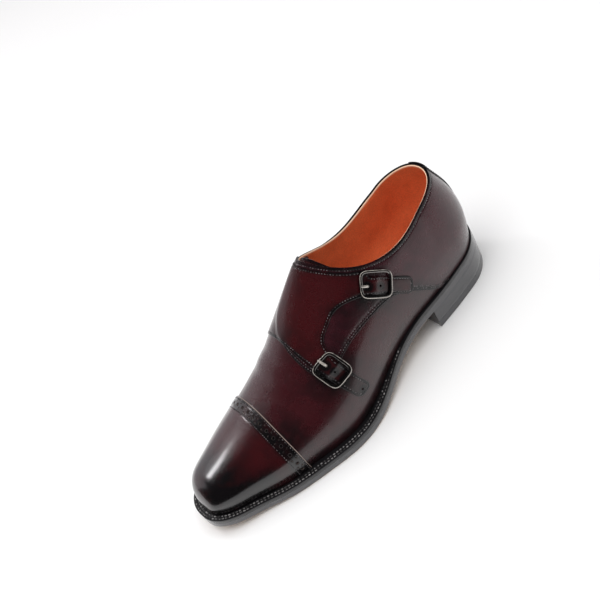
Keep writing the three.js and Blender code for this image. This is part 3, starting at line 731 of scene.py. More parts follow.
def calf_group():
    """Polished calf: fine grain and pores, cloudy dye, and a mask that darkens it towards near-black: polish burnished
    dark towards edges and toe, and painted shade where a piece sets it.
    """
    tree, start, end = group(
        "polished calf",
        [("Leather", "Color", (.1, .01, .01, 1)), ("Burnish", "Color", (.01, .008, .008, 1)),
         ("Burn", "Float", 0.0), ("Cloud", "Float", .5), ("Grain", "Float", 1.0), ("Shine", "Float", .3)],
        [("Colour", "Color"), ("Roughness", "Float"), ("Height", "Float")])
    coords = node(tree, "ShaderNodeTexCoord", (-900, -300)).outputs["Object"]
    cloud = noise(tree, coords, 80.0, 4.0, .6, (-700, 200))
    wide = noise(tree, coords, 26.0, 2.0, .5, (-700, 0))
    fine = noise(tree, coords, 900.0, 2.0, .6, (-700, -200))
    pores = node(tree, "ShaderNodeTexVoronoi", (-700, -400), feature="SMOOTH_F1")
    pores.inputs["Scale"].default_value = 1250.0
    pores.inputs["Smoothness"].default_value = .4
    tree.links.new(coords, pores.inputs["Vector"])
    mottle = maths(tree, "ADD", maths(tree, "MULTIPLY", cloud, .6), maths(tree, "MULTIPLY", wide, .4))
    shift = maths(tree, "MULTIPLY", maths(tree, "SUBTRACT", mottle, .5), start.outputs["Cloud"])
    mask = maths(tree, "ADD", start.outputs["Burn"], maths(tree, "MULTIPLY", shift, 2.6), clamp=True)
    colour = blend_colour(tree, mask, start.outputs["Leather"], start.outputs["Burnish"], (200, 200))
    lift = spread(tree, fine, .3, .7, .88, 1.1)
    shade = node(tree, "ShaderNodeVectorMath", (400, 200), operation="SCALE")
    link(tree, (colour, shade.inputs[0]), (lift, shade.inputs["Scale"]), (shade.outputs[0], end.inputs["Colour"]))
    rough = maths(tree, "ADD", start.outputs["Shine"], maths(tree, "MULTIPLY", maths(tree, "SUBTRACT", mottle, .5), .14))
    link(tree, (rough, end.inputs["Roughness"]))
    height = maths(tree, "ADD", maths(tree, "MULTIPLY", pores.outputs["Distance"], .7), maths(tree, "MULTIPLY", fine, .6))
    link(tree, (maths(tree, "MULTIPLY", height, start.outputs["Grain"]), end.inputs["Height"]))
    return tree


def edge_group():
    """Mask of what lies close to a cut edge, for the black edge ink that bleeds on to the face."""
    tree, start, end = group("edge ink", [("Reach", "Float", .002), ("Strength", "Float", 1.0)],
                             [("Mask", "Float")])
    edge = node(tree, "ShaderNodeAttribute", (-700, 200), attribute_name="edge").outputs["Fac"]
    coords = node(tree, "ShaderNodeTexCoord", (-900, -300)).outputs["Object"]
    waver = maths(tree, "MULTIPLY", maths(tree, "SUBTRACT", noise(tree, coords, 160.0, 3.0), .5), .0016)
    reach = start.outputs["Reach"]
    near = spread(tree, maths(tree, "ADD", edge, waver), maths(tree, "MULTIPLY", reach, .45), reach, 1.0, 0.0)
    smear = spread(tree, edge, reach, maths(tree, "MULTIPLY", reach, 2.6), .42, 0.0)
    both = maths(tree, "MAXIMUM", near, smear)
    link(tree, (maths(tree, "MULTIPLY", both, start.outputs["Strength"], clamp=True), end.inputs["Mask"]))
    return tree


CALF, EDGE_INK = calf_group(), edge_group()


def new_material(name):
    material = bpy.data.materials.new(name)
    material.use_nodes = True
    tree = material.node_tree
    tree.nodes.clear()
    out = node(tree, "ShaderNodeOutputMaterial", (700, 0))
    skin = node(tree, "ShaderNodeBsdfPrincipled", (400, 0))
    tree.links.new(skin.outputs[0], out.inputs[0])
    return material, tree, skin


def bump(tree, skin, height, strength, distance):
    made = node(tree, "ShaderNodeBump", (200, -300))
    made.inputs["Strength"].default_value = strength
    made.inputs["Distance"].default_value = distance
    link(tree, (height, made.inputs["Height"]), (made.outputs[0], skin.inputs["Normal"]))


def use(tree, what, at=(0, 0), **values):
    made = node(tree, "ShaderNodeGroup", at)
    made.node_tree = what
    for key, val in values.items():
        made.inputs[key].default_value = val
    return made


def calf(name, leather, burnish_and_shade_colour=(.0032, .0025, .003, 1), reach=.0034, ink=.95, cloud=1.0, shine=.28, coat=.58,
         grain=1.0, cut=None, polish=.16):
    material, tree, skin = new_material(name)
    surface = use(tree, CALF, (-100, 0), Leather=leather, Burnish=burnish_and_shade_colour, Cloud=cloud, Grain=grain, Shine=shine)
    ink_mask = use(tree, EDGE_INK, (-500, -100), Reach=reach, Strength=ink)
    # Each piece's own darkening: burnish and edge ink, and on the upper also painted shade round the buckles.
    burnish_and_shade = node(tree, "ShaderNodeAttribute", (-500, 200), attribute_name="burnish_and_shade").outputs["Fac"]
    dull = node(tree, "ShaderNodeAttribute", (-500, 400), attribute_name="dull").outputs["Fac"]
    wear_and_highlight = maths(tree, "MAXIMUM", dull, maths(tree, "MULTIPLY", ink_mask.outputs[0], .7))
    face = surface.outputs["Colour"]
    # Where `cut` is given, a pale colour along the cut edge: a painted highlight of the edge catching light.
    if cut:
        edge = node(tree, "ShaderNodeAttribute", (-500, 600), attribute_name="edge").outputs["Fac"]
        face = blend_colour(tree, spread(tree, edge, .0002, .0006, 1.0, 0.0), face, cut)
    link(tree, (maths(tree, "MAXIMUM", burnish_and_shade, ink_mask.outputs[0]), surface.inputs["Burn"]),
         (face, skin.inputs["Base Color"]),
         (maths(tree, "ADD", surface.outputs["Roughness"], maths(tree, "MULTIPLY", dull, .3)), skin.inputs["Roughness"]),
         (maths(tree, "MULTIPLY", maths(tree, "SUBTRACT", 1.0, wear_and_highlight), coat), skin.inputs["Coat Weight"]))
    skin.inputs["Specular IOR Level"].default_value = .45
    skin.inputs["Coat Roughness"].default_value = polish
    bump(tree, skin, surface.outputs["Height"], .75, .00025)
    return material


def plain_leather(name, leather, dark, shine=.6, cloud=.8, grain=1.6, coat=0.0,
                  rim=None, shine_level=.5):
    material, tree, skin = new_material(name)
    surface = use(tree, CALF, (-100, 0), Leather=leather, Burnish=dark, Burn=.15, Cloud=cloud, Grain=grain, Shine=shine)
    face = surface.outputs["Colour"]
    if rim:
        edge = node(tree, "ShaderNodeAttribute", (-500, 300), attribute_name="edge").outputs["Fac"]
        face = blend_colour(tree, spread(tree, edge, .0003, .0012, 1.0, 0.0), face, rim)
    link(tree, (face, skin.inputs["Base Color"]),
         (surface.outputs["Roughness"], skin.inputs["Roughness"]))
    skin.inputs["Specular IOR Level"].default_value = shine_level
    if coat:
        bare = node(tree, "ShaderNodeAttribute", (-500, 400), attribute_name="dull").outputs["Fac"]
        link(tree, (maths(tree, "MULTIPLY", maths(tree, "SUBTRACT", 1.0, bare), coat), skin.inputs["Coat Weight"]))
    bump(tree, skin, surface.outputs["Height"], .35, .0003)
    return material


def edge_dressing(name, colour, shine, layers=0.0, rim=None):
    """Black wax dressing on a cut leather edge; `layers` shows a heel's lifts, `rim` the bare leather below."""
    material, tree, skin = new_material(name)
    coords = node(tree, "ShaderNodeTexCoord", (-900, 0)).outputs["Object"]
    split = node(tree, "ShaderNodeSeparateXYZ", (-700, -200))
    tree.links.new(coords, split.inputs[0])
    streak = node(tree, "ShaderNodeMapping", (-700, 200))
    streak.inputs["Scale"].default_value = (1, 1, 14)
    tree.links.new(coords, streak.inputs["Vector"])
    scratch = noise(tree, streak.outputs[0], 120.0, 4.0, .6, (-500, 200))
    cloud = noise(tree, coords, 45.0, 3.0, .5, (-500, 0))
    lighter = tuple(c * 2.6 + .01 for c in colour[:3]) + (1,)
    face = blend_colour(tree, spread(tree, scratch, .45, .75, 0, .7), colour, lighter)
    if rim:
        rise = node(tree, "ShaderNodeAttribute", (-500, 300), attribute_name="edge").outputs["Fac"]
        face = blend_colour(tree, spread(tree, rise, .00045, .0007, 1.0, 0.0), face, rim)
    tree.links.new(face, skin.inputs["Base Color"])
    tree.links.new(spread(tree, maths(tree, "ADD", scratch, cloud), .7, 1.3, shine - .07, shine + .13), skin.inputs["Roughness"])
    height = maths(tree, "MULTIPLY", scratch, .5)
    if layers:
        wave = maths(tree, "PINGPONG", split.outputs["Z"], layers)
        line = spread(tree, wave, 0.0, .0002, -.12, 0.0)
        height = maths(tree, "ADD", height, line)
    bump(tree, skin, height, .3, .0003)
    skin.inputs["Specular IOR Level"].default_value = .8
    skin.inputs["Coat Weight"].default_value = .7
    skin.inputs["Coat Roughness"].default_value = .25
    return material


def metal(name, colour, shine):
    """Plated metal, darker in random patches, with a painted highlight where a piece marks it: paler, rougher and less
    metallic, as a line along a frame's outer upper ridge and, in part, all over a prong.
    """
    material, tree, skin = new_material(name)
    coords = node(tree, "ShaderNodeTexCoord", (-900, 0)).outputs["Object"]
    cloud = noise(tree, coords, 420.0, 3.0, .6)
    dark = tuple(c * .4 for c in colour[:3]) + (1,)
    wear_and_highlight = node(tree, "ShaderNodeAttribute", (-700, 300), attribute_name="wear_and_highlight").outputs["Fac"]
    wear_and_highlight = maths(tree, "MULTIPLY", wear_and_highlight, spread(tree, noise(tree, coords, 260.0, 2.0), .3, .55, .35, 1.0))
    face = blend_colour(tree, wear_and_highlight, blend_colour(tree, cloud, dark, colour), (.76, .70, .63, 1))
    link(tree, (face, skin.inputs["Base Color"]),
         (maths(tree, "ADD", spread(tree, cloud, .3, .7, shine - .05, shine + .06), maths(tree, "MULTIPLY", wear_and_highlight, .2)),
          skin.inputs["Roughness"]),
         (maths(tree, "SUBTRACT", 1.0, maths(tree, "MULTIPLY", wear_and_highlight, .85)), skin.inputs["Metallic"]))
    bump(tree, skin, cloud, .05, .0002)
    return material


def thread(name, colour, shine=.5):
    material, tree, skin = new_material(name)
    coords = node(tree, "ShaderNodeTexCoord", (-900, 0)).outputs["Object"]
    twist = noise(tree, coords, 2600.0, 1.0, .5)
    dark = tuple(c * .12 for c in colour[:3]) + (1,)
    patch = spread(tree, noise(tree, coords, 420.0, 1.0, .5, (-500, 300)), .42, .6, .0, 1.0)
    shade = maths(tree, "MULTIPLY", patch, spread(tree, twist, .3, .7, .55, 1.0))
    tree.links.new(blend_colour(tree, shade, dark, colour), skin.inputs["Base Color"])
    tree.links.new(spread(tree, twist, .3, .7, shine - .1, shine + .1), skin.inputs["Roughness"])
    bump(tree, skin, twist, .4, .0001)
    return material


OXBLOOD = (.037, .0048, .0072, 1)
BURGUNDY = calf("burgundy calf", OXBLOOD)
QUARTER_CALF = calf("quarter calf", (.046, .0075, .0125, 1), reach=.0046)
# The toe cap's cut edges, and faintly its punched holes, carry a pale line: painted highlight.
CAP_CALF = calf("burnished cap calf", (.036, .0032, .0048, 1), reach=.0030, shine=.22, coat=.78,
                cut=(.34, .27, .24, 1), polish=.12, grain=.5)
# The flap's edge ink is partly painted shade: its reach is widened over the stitch groove, where the groove's shade
# falls.
FLAP_CALF = calf("flap calf", (.040, .0034, .0048, 1), reach=.0042)
# The lining's tan is partly painted light: much lighter than the leather's own tan, standing in for light on the lit
# inside of the collar.
LINING = plain_leather("tan lining", (.97, .25, .095, 1), (.70, .15, .05, 1), rim=(.9, .6, .42, 1))
SOCK = plain_leather("insole leather", (.36, .12, .04, 1), (.2, .06, .02, 1))
WELT_BLACK = plain_leather("black welt", (.012, .0115, .013, 1), (.004, .004, .004, 1), shine=.42, coat=1.0,
                           shine_level=.25)
SOLE_EDGE = edge_dressing("black sole edge", (.034, .033, .037, 1), .28, rim=(.40, .29, .20, 1))
HEEL_EDGE = edge_dressing("black stacked heel", (.024, .0235, .027, 1), .30, layers=.0045)
HEEL_RUBBER = edge_dressing("heel rubber", (.022, .0215, .025, 1), .34)
GUNMETAL = metal("gunmetal", (.27, .255, .245, 1), .10)
PALE_METAL = metal("pale metal with painted highlight", (.58, .55, .51, 1), .18)
# Both thread colours are partly painted highlight: greyer than the dark thread itself, so that the stitches show as if
# catching light, the welt thread most.
DARK_THREAD = thread("dark thread", (.21, .19, .195, 1), .3)
WELT_THREAD = thread("welt thread", (.36, .345, .345, 1), .25)
HOLE_RIM = plain_leather("punched edge", (.040, .032, .034, 1), (.006, .004, .004, 1), shine=.4)


# ------------------------------------------------------------------ repeating work: stitches and punched rims
def along_path_tree():
    """Stitches: a spindle of thread laid every `Spacing` along each seam line."""
    tree = bpy.data.node_groups.new("stitches along a seam", "GeometryNodeTree")
    face = tree.interface
    face.new_socket("Seam", in_out="INPUT", socket_type="NodeSocketGeometry")
    for label, value in (("Spacing", .0026), ("Length", .002), ("Width", .0006), ("Height", .0004)):
        face.new_socket(label, in_out="INPUT", socket_type="NodeSocketFloat").default_value = value
    face.new_socket("Thread", in_out="INPUT", socket_type="NodeSocketMaterial")
    face.new_socket("Stitches", in_out="OUTPUT", socket_type="NodeSocketGeometry")
    start, end = node(tree, "NodeGroupInput", (-900, 0)), node(tree, "NodeGroupOutput", (900, 0))
    line = node(tree, "GeometryNodeMeshToCurve", (-700, 0))
    even = node(tree, "GeometryNodeResampleCurve", (-500, 0), mode="LENGTH")
    tangent = node(tree, "GeometryNodeInputTangent", (-500, -300))
    up = node(tree, "GeometryNodeInputNamedAttribute", (-500, -400), data_type="FLOAT_VECTOR")
    up.inputs["Name"].default_value = "up"
    turn = node(tree, "FunctionNodeAlignRotationToVector", (-300, -300), axis="X")
    roll = node(tree, "FunctionNodeAlignRotationToVector", (-100, -300), axis="Z", pivot_axis="X")
    spindle = node(tree, "GeometryNodeMeshUVSphere", (-300, -600))
    spindle.inputs["Segments"].default_value = 8
    spindle.inputs["Rings"].default_value = 6
    spindle.inputs["Radius"].default_value = .5
    size = node(tree, "ShaderNodeCombineXYZ", (-300, -800))
    place = node(tree, "GeometryNodeInstanceOnPoints", (100, 0))
    real = node(tree, "GeometryNodeRealizeInstances", (300, 0))
    finish = node(tree, "GeometryNodeSetMaterial", (500, 0))
    link(tree, (start.outputs["Seam"], line.inputs[0]), (line.outputs[0], even.inputs["Curve"]),
         (start.outputs["Spacing"], even.inputs["Length"]), (even.outputs[0], place.inputs["Points"]),
         (tangent.outputs[0], turn.inputs["Vector"]), (turn.outputs[0], roll.inputs["Rotation"]),
         (up.outputs["Attribute"], roll.inputs["Vector"]), (roll.outputs[0], place.inputs["Rotation"]),
         (spindle.outputs["Mesh"], place.inputs["Instance"]), (start.outputs["Length"], size.inputs[0]),
         (start.outputs["Width"], size.inputs[1]), (start.outputs["Height"], size.inputs[2]),
         (size.outputs[0], place.inputs["Scale"]), (place.outputs[0], real.inputs[0]),
         (real.outputs[0], finish.inputs["Geometry"]), (start.outputs["Thread"], finish.inputs["Material"]),
         (finish.outputs[0], end.inputs[0]))
    return tree


def rim_tree():
    """Punched rims: a small ring of torn edge round every hole, by each point's own size."""
    tree = bpy.data.node_groups.new("punched rims", "GeometryNodeTree")
    face = tree.interface
    face.new_socket("Holes", in_out="INPUT", socket_type="NodeSocketGeometry")
    face.new_socket("Wall", in_out="INPUT", socket_type="NodeSocketFloat").default_value = .00018
    face.new_socket("Leather", in_out="INPUT", socket_type="NodeSocketMaterial")
    face.new_socket("Rims", in_out="OUTPUT", socket_type="NodeSocketGeometry")
    start, end = node(tree, "NodeGroupInput", (-900, 0)), node(tree, "NodeGroupOutput", (900, 0))
    up = node(tree, "GeometryNodeInputNamedAttribute", (-700, -400), data_type="FLOAT_VECTOR")
    up.inputs["Name"].default_value = "up"
    size = node(tree, "GeometryNodeInputNamedAttribute", (-700, -600), data_type="FLOAT")
    size.inputs["Name"].default_value = "size"
    turn = node(tree, "FunctionNodeAlignRotationToVector", (-500, -400), axis="Z")
    points = node(tree, "GeometryNodeMeshToPoints", (-700, 0))
    ring = node(tree, "GeometryNodeCurvePrimitiveCircle", (-700, -800))
    ring.inputs["Resolution"].default_value = 18
    ring.inputs["Radius"].default_value = 1.0
    wire = node(tree, "GeometryNodeCurvePrimitiveCircle", (-700, -1000))
    wire.inputs["Resolution"].default_value = 6
    body = node(tree, "GeometryNodeCurveToMesh", (-300, -800))
    place = node(tree, "GeometryNodeInstanceOnPoints", (100, 0))
    real = node(tree, "GeometryNodeRealizeInstances", (300, 0))
    finish = node(tree, "GeometryNodeSetMaterial", (500, 0))
    link(tree, (start.outputs["Holes"], points.inputs[0]), (points.outputs[0], place.inputs["Points"]),
         (up.outputs["Attribute"], turn.inputs["Vector"]), (turn.outputs[0], place.inputs["Rotation"]),
         (start.outputs["Wall"], wire.inputs["Radius"]), (ring.outputs[0], body.inputs["Curve"]),
         (wire.outputs[0], body.inputs["Profile Curve"]), (body.outputs[0], place.inputs["Instance"]),
         (size.outputs["Attribute"], place.inputs["Scale"]), (place.outputs[0], real.inputs[0]),
         (real.outputs[0], finish.inputs["Geometry"]), (start.outputs["Leather"], finish.inputs["Material"]),
         (finish.outputs[0], end.inputs[0]))
    return tree


STITCHES, RIMS = along_path_tree(), rim_tree()


def grow(name, tree, carrier, **inputs):
    """Runs a tree on a carrier mesh and keeps the result as a plain mesh."""
    tool = carrier.modifiers.new("work", "NODES")
    tool.node_group = tree
    sockets = {s.name: s.identifier for s in tree.interface.items_tree if s.in_out == "INPUT"}
    for label, value in inputs.items():
        tool[sockets[label]] = value
    graph = bpy.context.evaluated_depsgraph_get()
    mesh = bpy.data.meshes.new_from_object(carrier.evaluated_get(graph))
    mesh.name = name
    bpy.data.objects.remove(carrier)
    piece = bpy.data.objects.new(name, mesh)
    bpy.context.scene.collection.objects.link(piece)
    mesh.shade_smooth()
    return piece


def carrier_of(name, places, edges, ups, sizes=None):
    mesh = bpy.data.meshes.new(name)
    mesh.from_pydata(((np.asarray(places) + SHIFT) * MM).tolist(), edges, [])
    up = mesh.attributes.new("up", "FLOAT_VECTOR", "POINT")
    up.data.foreach_set("vector", np.asarray(ups, np.float32).ravel())
    if sizes is not None:
        size = mesh.attributes.new("size", "FLOAT", "POINT")
        size.data.foreach_set("value", np.asarray(sizes, np.float32))
    carrier = bpy.data.objects.new(name, mesh)
    bpy.context.scene.collection.objects.link(carrier)
    return carrier


def even(run, step=1.2):
    """A run of places and normals, made even and a little smoother."""
    place, normal = run
    s = np.concatenate([[0], np.cumsum(np.linalg.norm(np.diff(place, axis=0), axis=1))])
    n = max(4, int(s[-1] / step))
    at = np.linspace(0, s[-1], n)
    pick = lambda v: np.stack([np.interp(at, s, v[:, i]) for i in range(3)], 1)
    place, normal = pick(place), pick(normal)
    for _ in range(3):
        place[1:-1] = (place[:-2] + 2 * place[1:-1] + place[2:]) / 4
        normal[1:-1] = (normal[:-2] + 2 * normal[1:-1] + normal[2:]) / 4
    return place, normal / np.linalg.norm(normal, axis=1, keepdims=True)


def stitch(name, runs, lift, thread_material, slot, spacing=2.6, length=2.0, width=.6, height=.42):
    """Stitches along runs of places and normals, lifted to the face of the leather."""
    places, ups, edges = [], [], []
    for run in runs:
        place, normal = even(run)
        first = len(places)
        places += list(place + normal * lift)
        ups += list(normal)
        edges += [(i, i + 1) for i in range(first, len(places) - 1)]
    piece = grow(name, STITCHES, carrier_of(name, places, edges, ups), Spacing=spacing * MM,
                 Length=length * MM, Width=width * MM, Height=height * MM, Thread=thread_material)
    return dress(piece, None, slot)


# ------------------------------------------------------------------ the upper, panel by panel
def painted_shade_round_buckles(sheet, half=17.0):
    """Painted shade round the buckles, fading with distance from each buckle."""
    near = [np.exp(-(np.linalg.norm(sheet["place"] - seat.place, axis=1) / half) ** 3) for seat in seats.values()]
    return np.maximum(*near)


def edge_rows(sheet, field, *levels):
    """Adds rows of corners at set distances from an edge, so that it can be rolled and grooved."""
    for level in levels:
        sheet.cut(field(sheet), level, keep_both=True)
    return sheet


# vamp and the base of the whole upper
base = Sheet(station(np.linspace(0, 1, 200)), np.linspace(-1, 1, 121)).weld()
base.cut(from_topline(base))
edge_rows(base, from_topline, .25, .6)
collar = from_topline(base)
under_cap = smooth((seam_side(base, through(CAP_SEAM, 60), np.array([[320, 1.05], [320, -1.05]])) + 1) / 2)
toe_dark = smooth((base["x"] - 176) / 46)
low_dark = smooth((np.abs(base["q"]) - .80) / .2)
# Darkening of the vamp: burnished towards the toe, more on the lateral side; darker low near the welt and under the
# cap's edge; painted shade round the buckles.
dress(leather_piece("vamp", base, rounded(0.0, collar), -.9, collar,
                    {"burnish_and_shade": np.clip(.08 + .45 * toe_dark ** 2 * smooth((base["q"] + .1) / .5) + .6 * low_dark + under_cap
                                      + .8 * painted_shade_round_buckles(base, 22), 0, 1)}),
      BURGUNDY, "upper_leather", "upper")

# lateral quarter
quarter = Sheet(station(np.linspace(0, station_at(186), 170)), np.linspace(-.16, 1, 100)).weld()


def quarter_field(sheet):
    return np.minimum(quarter_depth(sheet), from_topline(sheet))


quarter.cut(quarter_field(quarter))
edge_rows(quarter, quarter_field, .25, .6, 1.2, 1.7, 2.2, 2.9, 3.4, 3.9)
edge = quarter_field(quarter)
seam = quarter_depth(quarter)
face = rounded(.05 + QUARTER_LEATHER, edge) + groove(seam, 1.7) + groove(seam, 3.4) + groove(from_topline(quarter), 2.6)
heel_dark = smooth((60 - quarter["x"]) / 60)
# Darkening of the quarter: darker towards the heel, forward towards the flap and low near the welt, with painted shade
# round the buckles.
dress(leather_piece("lateral_quarter", quarter, face, .05, edge,
                    {"burnish_and_shade": np.clip(.14 + .12 * heel_dark + .4 * smooth((quarter["x"] - 84) / 40) + .5 * smooth((np.abs(quarter["q"]) - .78) / .2)
                                      + .6 * painted_shade_round_buckles(quarter), 0, 1)}),
      QUARTER_CALF, "upper_leather")
face = face + relief(quarter)
quarter_seam = chains(quarter, seam, 1.7, face) + chains(quarter, seam, 3.4, face)
quarter_seam += chains(quarter, from_topline(quarter), 2.6, face)

# medial quarter, flap and straps in one
flap = Sheet(station(np.linspace(0, station_at(181), 190)), np.linspace(-1, .8, 140)).weld()
for _ in range(1):
    near = np.zeros(len(flap["x"]), bool)
    for name in seats:
        a, b = seats[name].along(flap["place"])
        near |= (a > -20) & (a < 36) & (np.abs(b) < 10) & (np.linalg.norm(flap["place"] - seats[name].place, axis=1) < 45)
    flap.refine(near)
HOLES = {"upper": ((-6.2, 1.25), (3.4, .85)), "lower": ((-5.4, 1.25), (2.2, .8), (25.0, .85))}


def flap_holes(sheet):
    d = np.full(len(sheet["x"]), 50.0)
    for name, rows in HOLES.items():
        seat = seats[name]
        near = np.linalg.norm(sheet["place"] - seat.place, axis=1) < 45
        for a, radius in rows:
            if radius > 0:
                centre = seat.on(np.array([a]), np.array([strap_middle(BUCKLES[name], a)]), 0)[0][0]
                reach = np.linalg.norm(sheet["place"] - centre, axis=1) - radius
                d = np.where(near, np.minimum(d, reach), d)
    return d


for reach in (3.0, 1.8):
    flap.refine(flap_holes(flap) < reach)
flap.cut(flap_depth(flap))
edge_rows(flap, flap_depth, .25, .6, 1.3, 1.9, 2.5)
flap.cut(flap_holes(flap))
edge = flap_depth(flap)
over = smooth((quarter_depth(flap) + 3) / 5) * smooth((flap["q"] + .16) / .1)
rise = MEDIAL_TOP + (FLAP_TOP - MEDIAL_TOP) * over
ring_shade = np.zeros(len(flap["x"]))
for name in seats:
    a, b = seats[name].along(flap["place"])
    near = np.linalg.norm(flap["place"] - seats[name].place, axis=1) < 40
    dome = np.exp(-np.abs((a + 1) / 4.6) ** 2.4) * smooth((10 - np.abs(b - strap_middle(BUCKLES[name], a))) / 6)
    rise = rise + np.where(near, 1.9 * dome, 0)
    across = b - strap_middle(BUCKLES[name], a)
    round_ring = ((np.abs(a) / (BUCKLES[name]["long"] / 2)) ** 5 + (np.abs(across) / (BUCKLES[name]["wide"] / 2)) ** 5) ** .2
    ring_shade = np.maximum(ring_shade, np.where(near, np.exp(-((round_ring - .86) / .17) ** 2), 0))
face = rounded(rise, np.minimum(edge, flap_holes(flap) + .2)) + groove(edge, 1.9)
# Darkening of the flap: darker forward and low, painted shade round each buckle ring, lighter on the upper strap's tail
# and darker on the lower's.
burnish_and_shade = .04 + .3 * smooth((flap["x"] - 150) / 26) + .95 * ring_shade + .6 * smooth((np.abs(flap["q"]) - .8) / .2)
tail, _ = seats["upper"].along(flap["place"])
burnish_and_shade = burnish_and_shade - .6 * smooth((tail - 12) / 3) * (np.linalg.norm(flap["place"] - seats["upper"].place, axis=1) < 40)
tail, _ = seats["lower"].along(flap["place"])
burnish_and_shade = burnish_and_shade + .55 * smooth((tail - 6) / 8) * (np.linalg.norm(flap["place"] - seats["lower"].place, axis=1) < 40)
dress(leather_piece("monk_flap_leather", flap, face, rise - .93, np.minimum(edge, flap_holes(flap)),
                    {"burnish_and_shade": np.clip(burnish_and_shade, 0, 1)}),
      FLAP_CALF, "flap_leather", "monk_flap")
flap_seam = chains(flap, edge, 1.9, face + relief(flap))

# toe cap with its punched row
cap_x = np.concatenate([np.linspace(206, 232, 30), station(np.linspace(station_at(233.5), 1, 52))])
cap = Sheet(cap_x, np.linspace(-1, 1, 121)).weld()


def cap_depth(sheet):
    return seam_side(sheet, through(CAP_SEAM, 60), np.array([[320, 1.05], [320, -1.05]]))


cap.cut(cap_depth(cap))
punch_line = even(max(chains(cap, cap_depth(cap), 5.4), key=lambda run: len(run[0])), .5)
PUNCH_STEP, BIG_PUNCH, SMALL_PUNCH, SMALL_APART = 8.2, 1.3, .6, 1.9
punches = []
place, normal = punch_line
length = np.concatenate([[0], np.cumsum(np.linalg.norm(np.diff(place, axis=0), axis=1))])
count = int(length[-1] // PUNCH_STEP)
start = (length[-1] - (count - 1) * PUNCH_STEP) / 2
for k in range(count):
    i = np.searchsorted(length, start + k * PUNCH_STEP)
    punches.append((place[i], normal[i], BIG_PUNCH))
    j = np.searchsorted(length, start + (k + .5) * PUNCH_STEP)
    if k + 1 < count:
        run = place[j + 1] - place[j - 1]
        side = np.cross(normal[j], run / np.linalg.norm(run))
        punches += [(place[j] + side * s, normal[j], SMALL_PUNCH) for s in (-SMALL_APART, SMALL_APART)]


def punched(sheet):
    d = np.full(len(sheet["x"]), 9.0)
    band = np.flatnonzero((sheet["x"] > 205) & (sheet["x"] < 245))
    for centre, _, radius in punches:
        d[band] = np.minimum(d[band], np.linalg.norm(sheet["place"][band] - centre, axis=1) - radius)
    return d


for reach in (1.1, .75):
    cap.refine(punched(cap) < reach)
edge_rows(cap, cap_depth, .25, .6, 1.0, 1.5, 2.0, 9.0, 9.6, 10.2)
cap.cut(punched(cap))
edge = cap_depth(cap)
hole = punched(cap)
face = rounded(.05 + CAP_LEATHER, np.minimum(edge, hole + .25)) + groove(edge, 1.5) + groove(edge, 9.6)
band = smooth((11.5 - edge) / 2.5)
tip = smooth((cap["x"] - 238) / 40)
side_dark = smooth((np.abs(cap["q"]) - .36) / .34)
dress(leather_piece("toe_cap_leather", cap, face, .05, np.minimum(edge, 4 * hole + .4),
                    {"burnish_and_shade": np.clip(.06 + .8 * band + .85 * tip + .62 * side_dark, 0, 1)}),
      CAP_CALF, "cap_leather", "toe_cap")
cap_seam = chains(cap, edge, 1.5)
cap_seam_2 = chains(cap, edge, 9.6)

# strip over the back seam
stay = Sheet(station(np.linspace(0, station_at(16), 26)), np.linspace(-1, 1, 161)).weld()


def stay_depth(sheet):
    return np.minimum(9.5 - along_heel(sheet), from_topline(sheet))


stay.cut(stay_depth(stay))
edge_rows(stay, stay_depth, .25, .6, 1.3, 1.8, 2.3)
edge = stay_depth(stay)
dress(leather_piece("backstay_leather", stay, rounded(1.95, edge) + groove(edge, 1.8), 1.03, edge,
                    {"burnish_and_shade": .5 + .3 * smooth((np.abs(stay["q"]) - .7) / .2)}),
      QUARTER_CALF, "stay_leather", "backstay")
stay_seam = chains(stay, edge, 1.8)

# lining
inner = Sheet(station(np.linspace(0, 1, 150)), np.linspace(-1, 1, 91)).weld()
inner.cut(from_topline(inner), .15)
edge_rows(inner, from_topline, .4, .8)
edge = from_topline(inner) - .15
verts, faces, source = inner.solid(-.95, -2.0 + .35 * (1 - smooth(edge / .8)))
dress(make("lining_leather", verts, faces, {"edge": edge[source] * MM, "burnish_and_shade": np.zeros(len(source))}),
      LINING, "lining")

# tongue under the flap
tongue = Sheet(np.linspace(106, 178, 60), np.linspace(-.32, .32, 60))


def tongue_depth(sheet):
    along = (sheet["x"] - 142) / 33
    across = sheet["q"] / .29
    own = (1 - (np.abs(along) ** 5 + np.abs(across) ** 5) ** .2) * 26
    return np.minimum(own, from_topline(sheet) + 3.4 * (1 - np.clip((sheet["q"] - .04) / .2, -1.1, 1.1) ** 2) - .3)


tongue.cut(tongue_depth(tongue))
edge_rows(tongue, tongue_depth, .3, .7)
edge = tongue_depth(tongue)
lift = -2.5 - 1.5 * smooth((edge - .2) / 4) * 0
verts, faces, source = tongue.solid(rounded(lift, edge, drop=.3), lift - 1.5)
dress(make("tongue_leather_piece", verts, faces, {"edge": edge[source] * MM, "burnish_and_shade": np.zeros(len(source))}),
      BURGUNDY, "tongue_leather", "tongue")


# ------------------------------------------------------------------ sole, welt and heel
def loop(extra, height, margin=True, count=150, back_of=1.0):
    """Closed ring round the sole: outline carried out by `extra`, at `height` over the sole's underside."""
    t = np.linspace(0, back_of, count)
    sides = [sole_edge(t, 1, extra, margin), sole_edge(t, -1, extra, margin)[1 if back_of < 1 else 1:][::-1]]
    ring = np.concatenate([sides[0], sides[1][1:] if back_of == 1 else sides[1]])
    return np.column_stack([ring, sole_bottom(ring[:, 0]) + height])


def swept(rings, closed):
    """Skin over a run of rings with matching corners."""
    n, m = len(rings[0]), len(rings)
    verts = np.concatenate(rings)
    faces = []
    for k in range(m if closed else m - 1):
        a, b = k * n, ((k + 1) % m) * n
        faces += [(a + i, a + (i + 1) % n, b + (i + 1) % n, b + i) for i in range(n)]
    return verts, faces


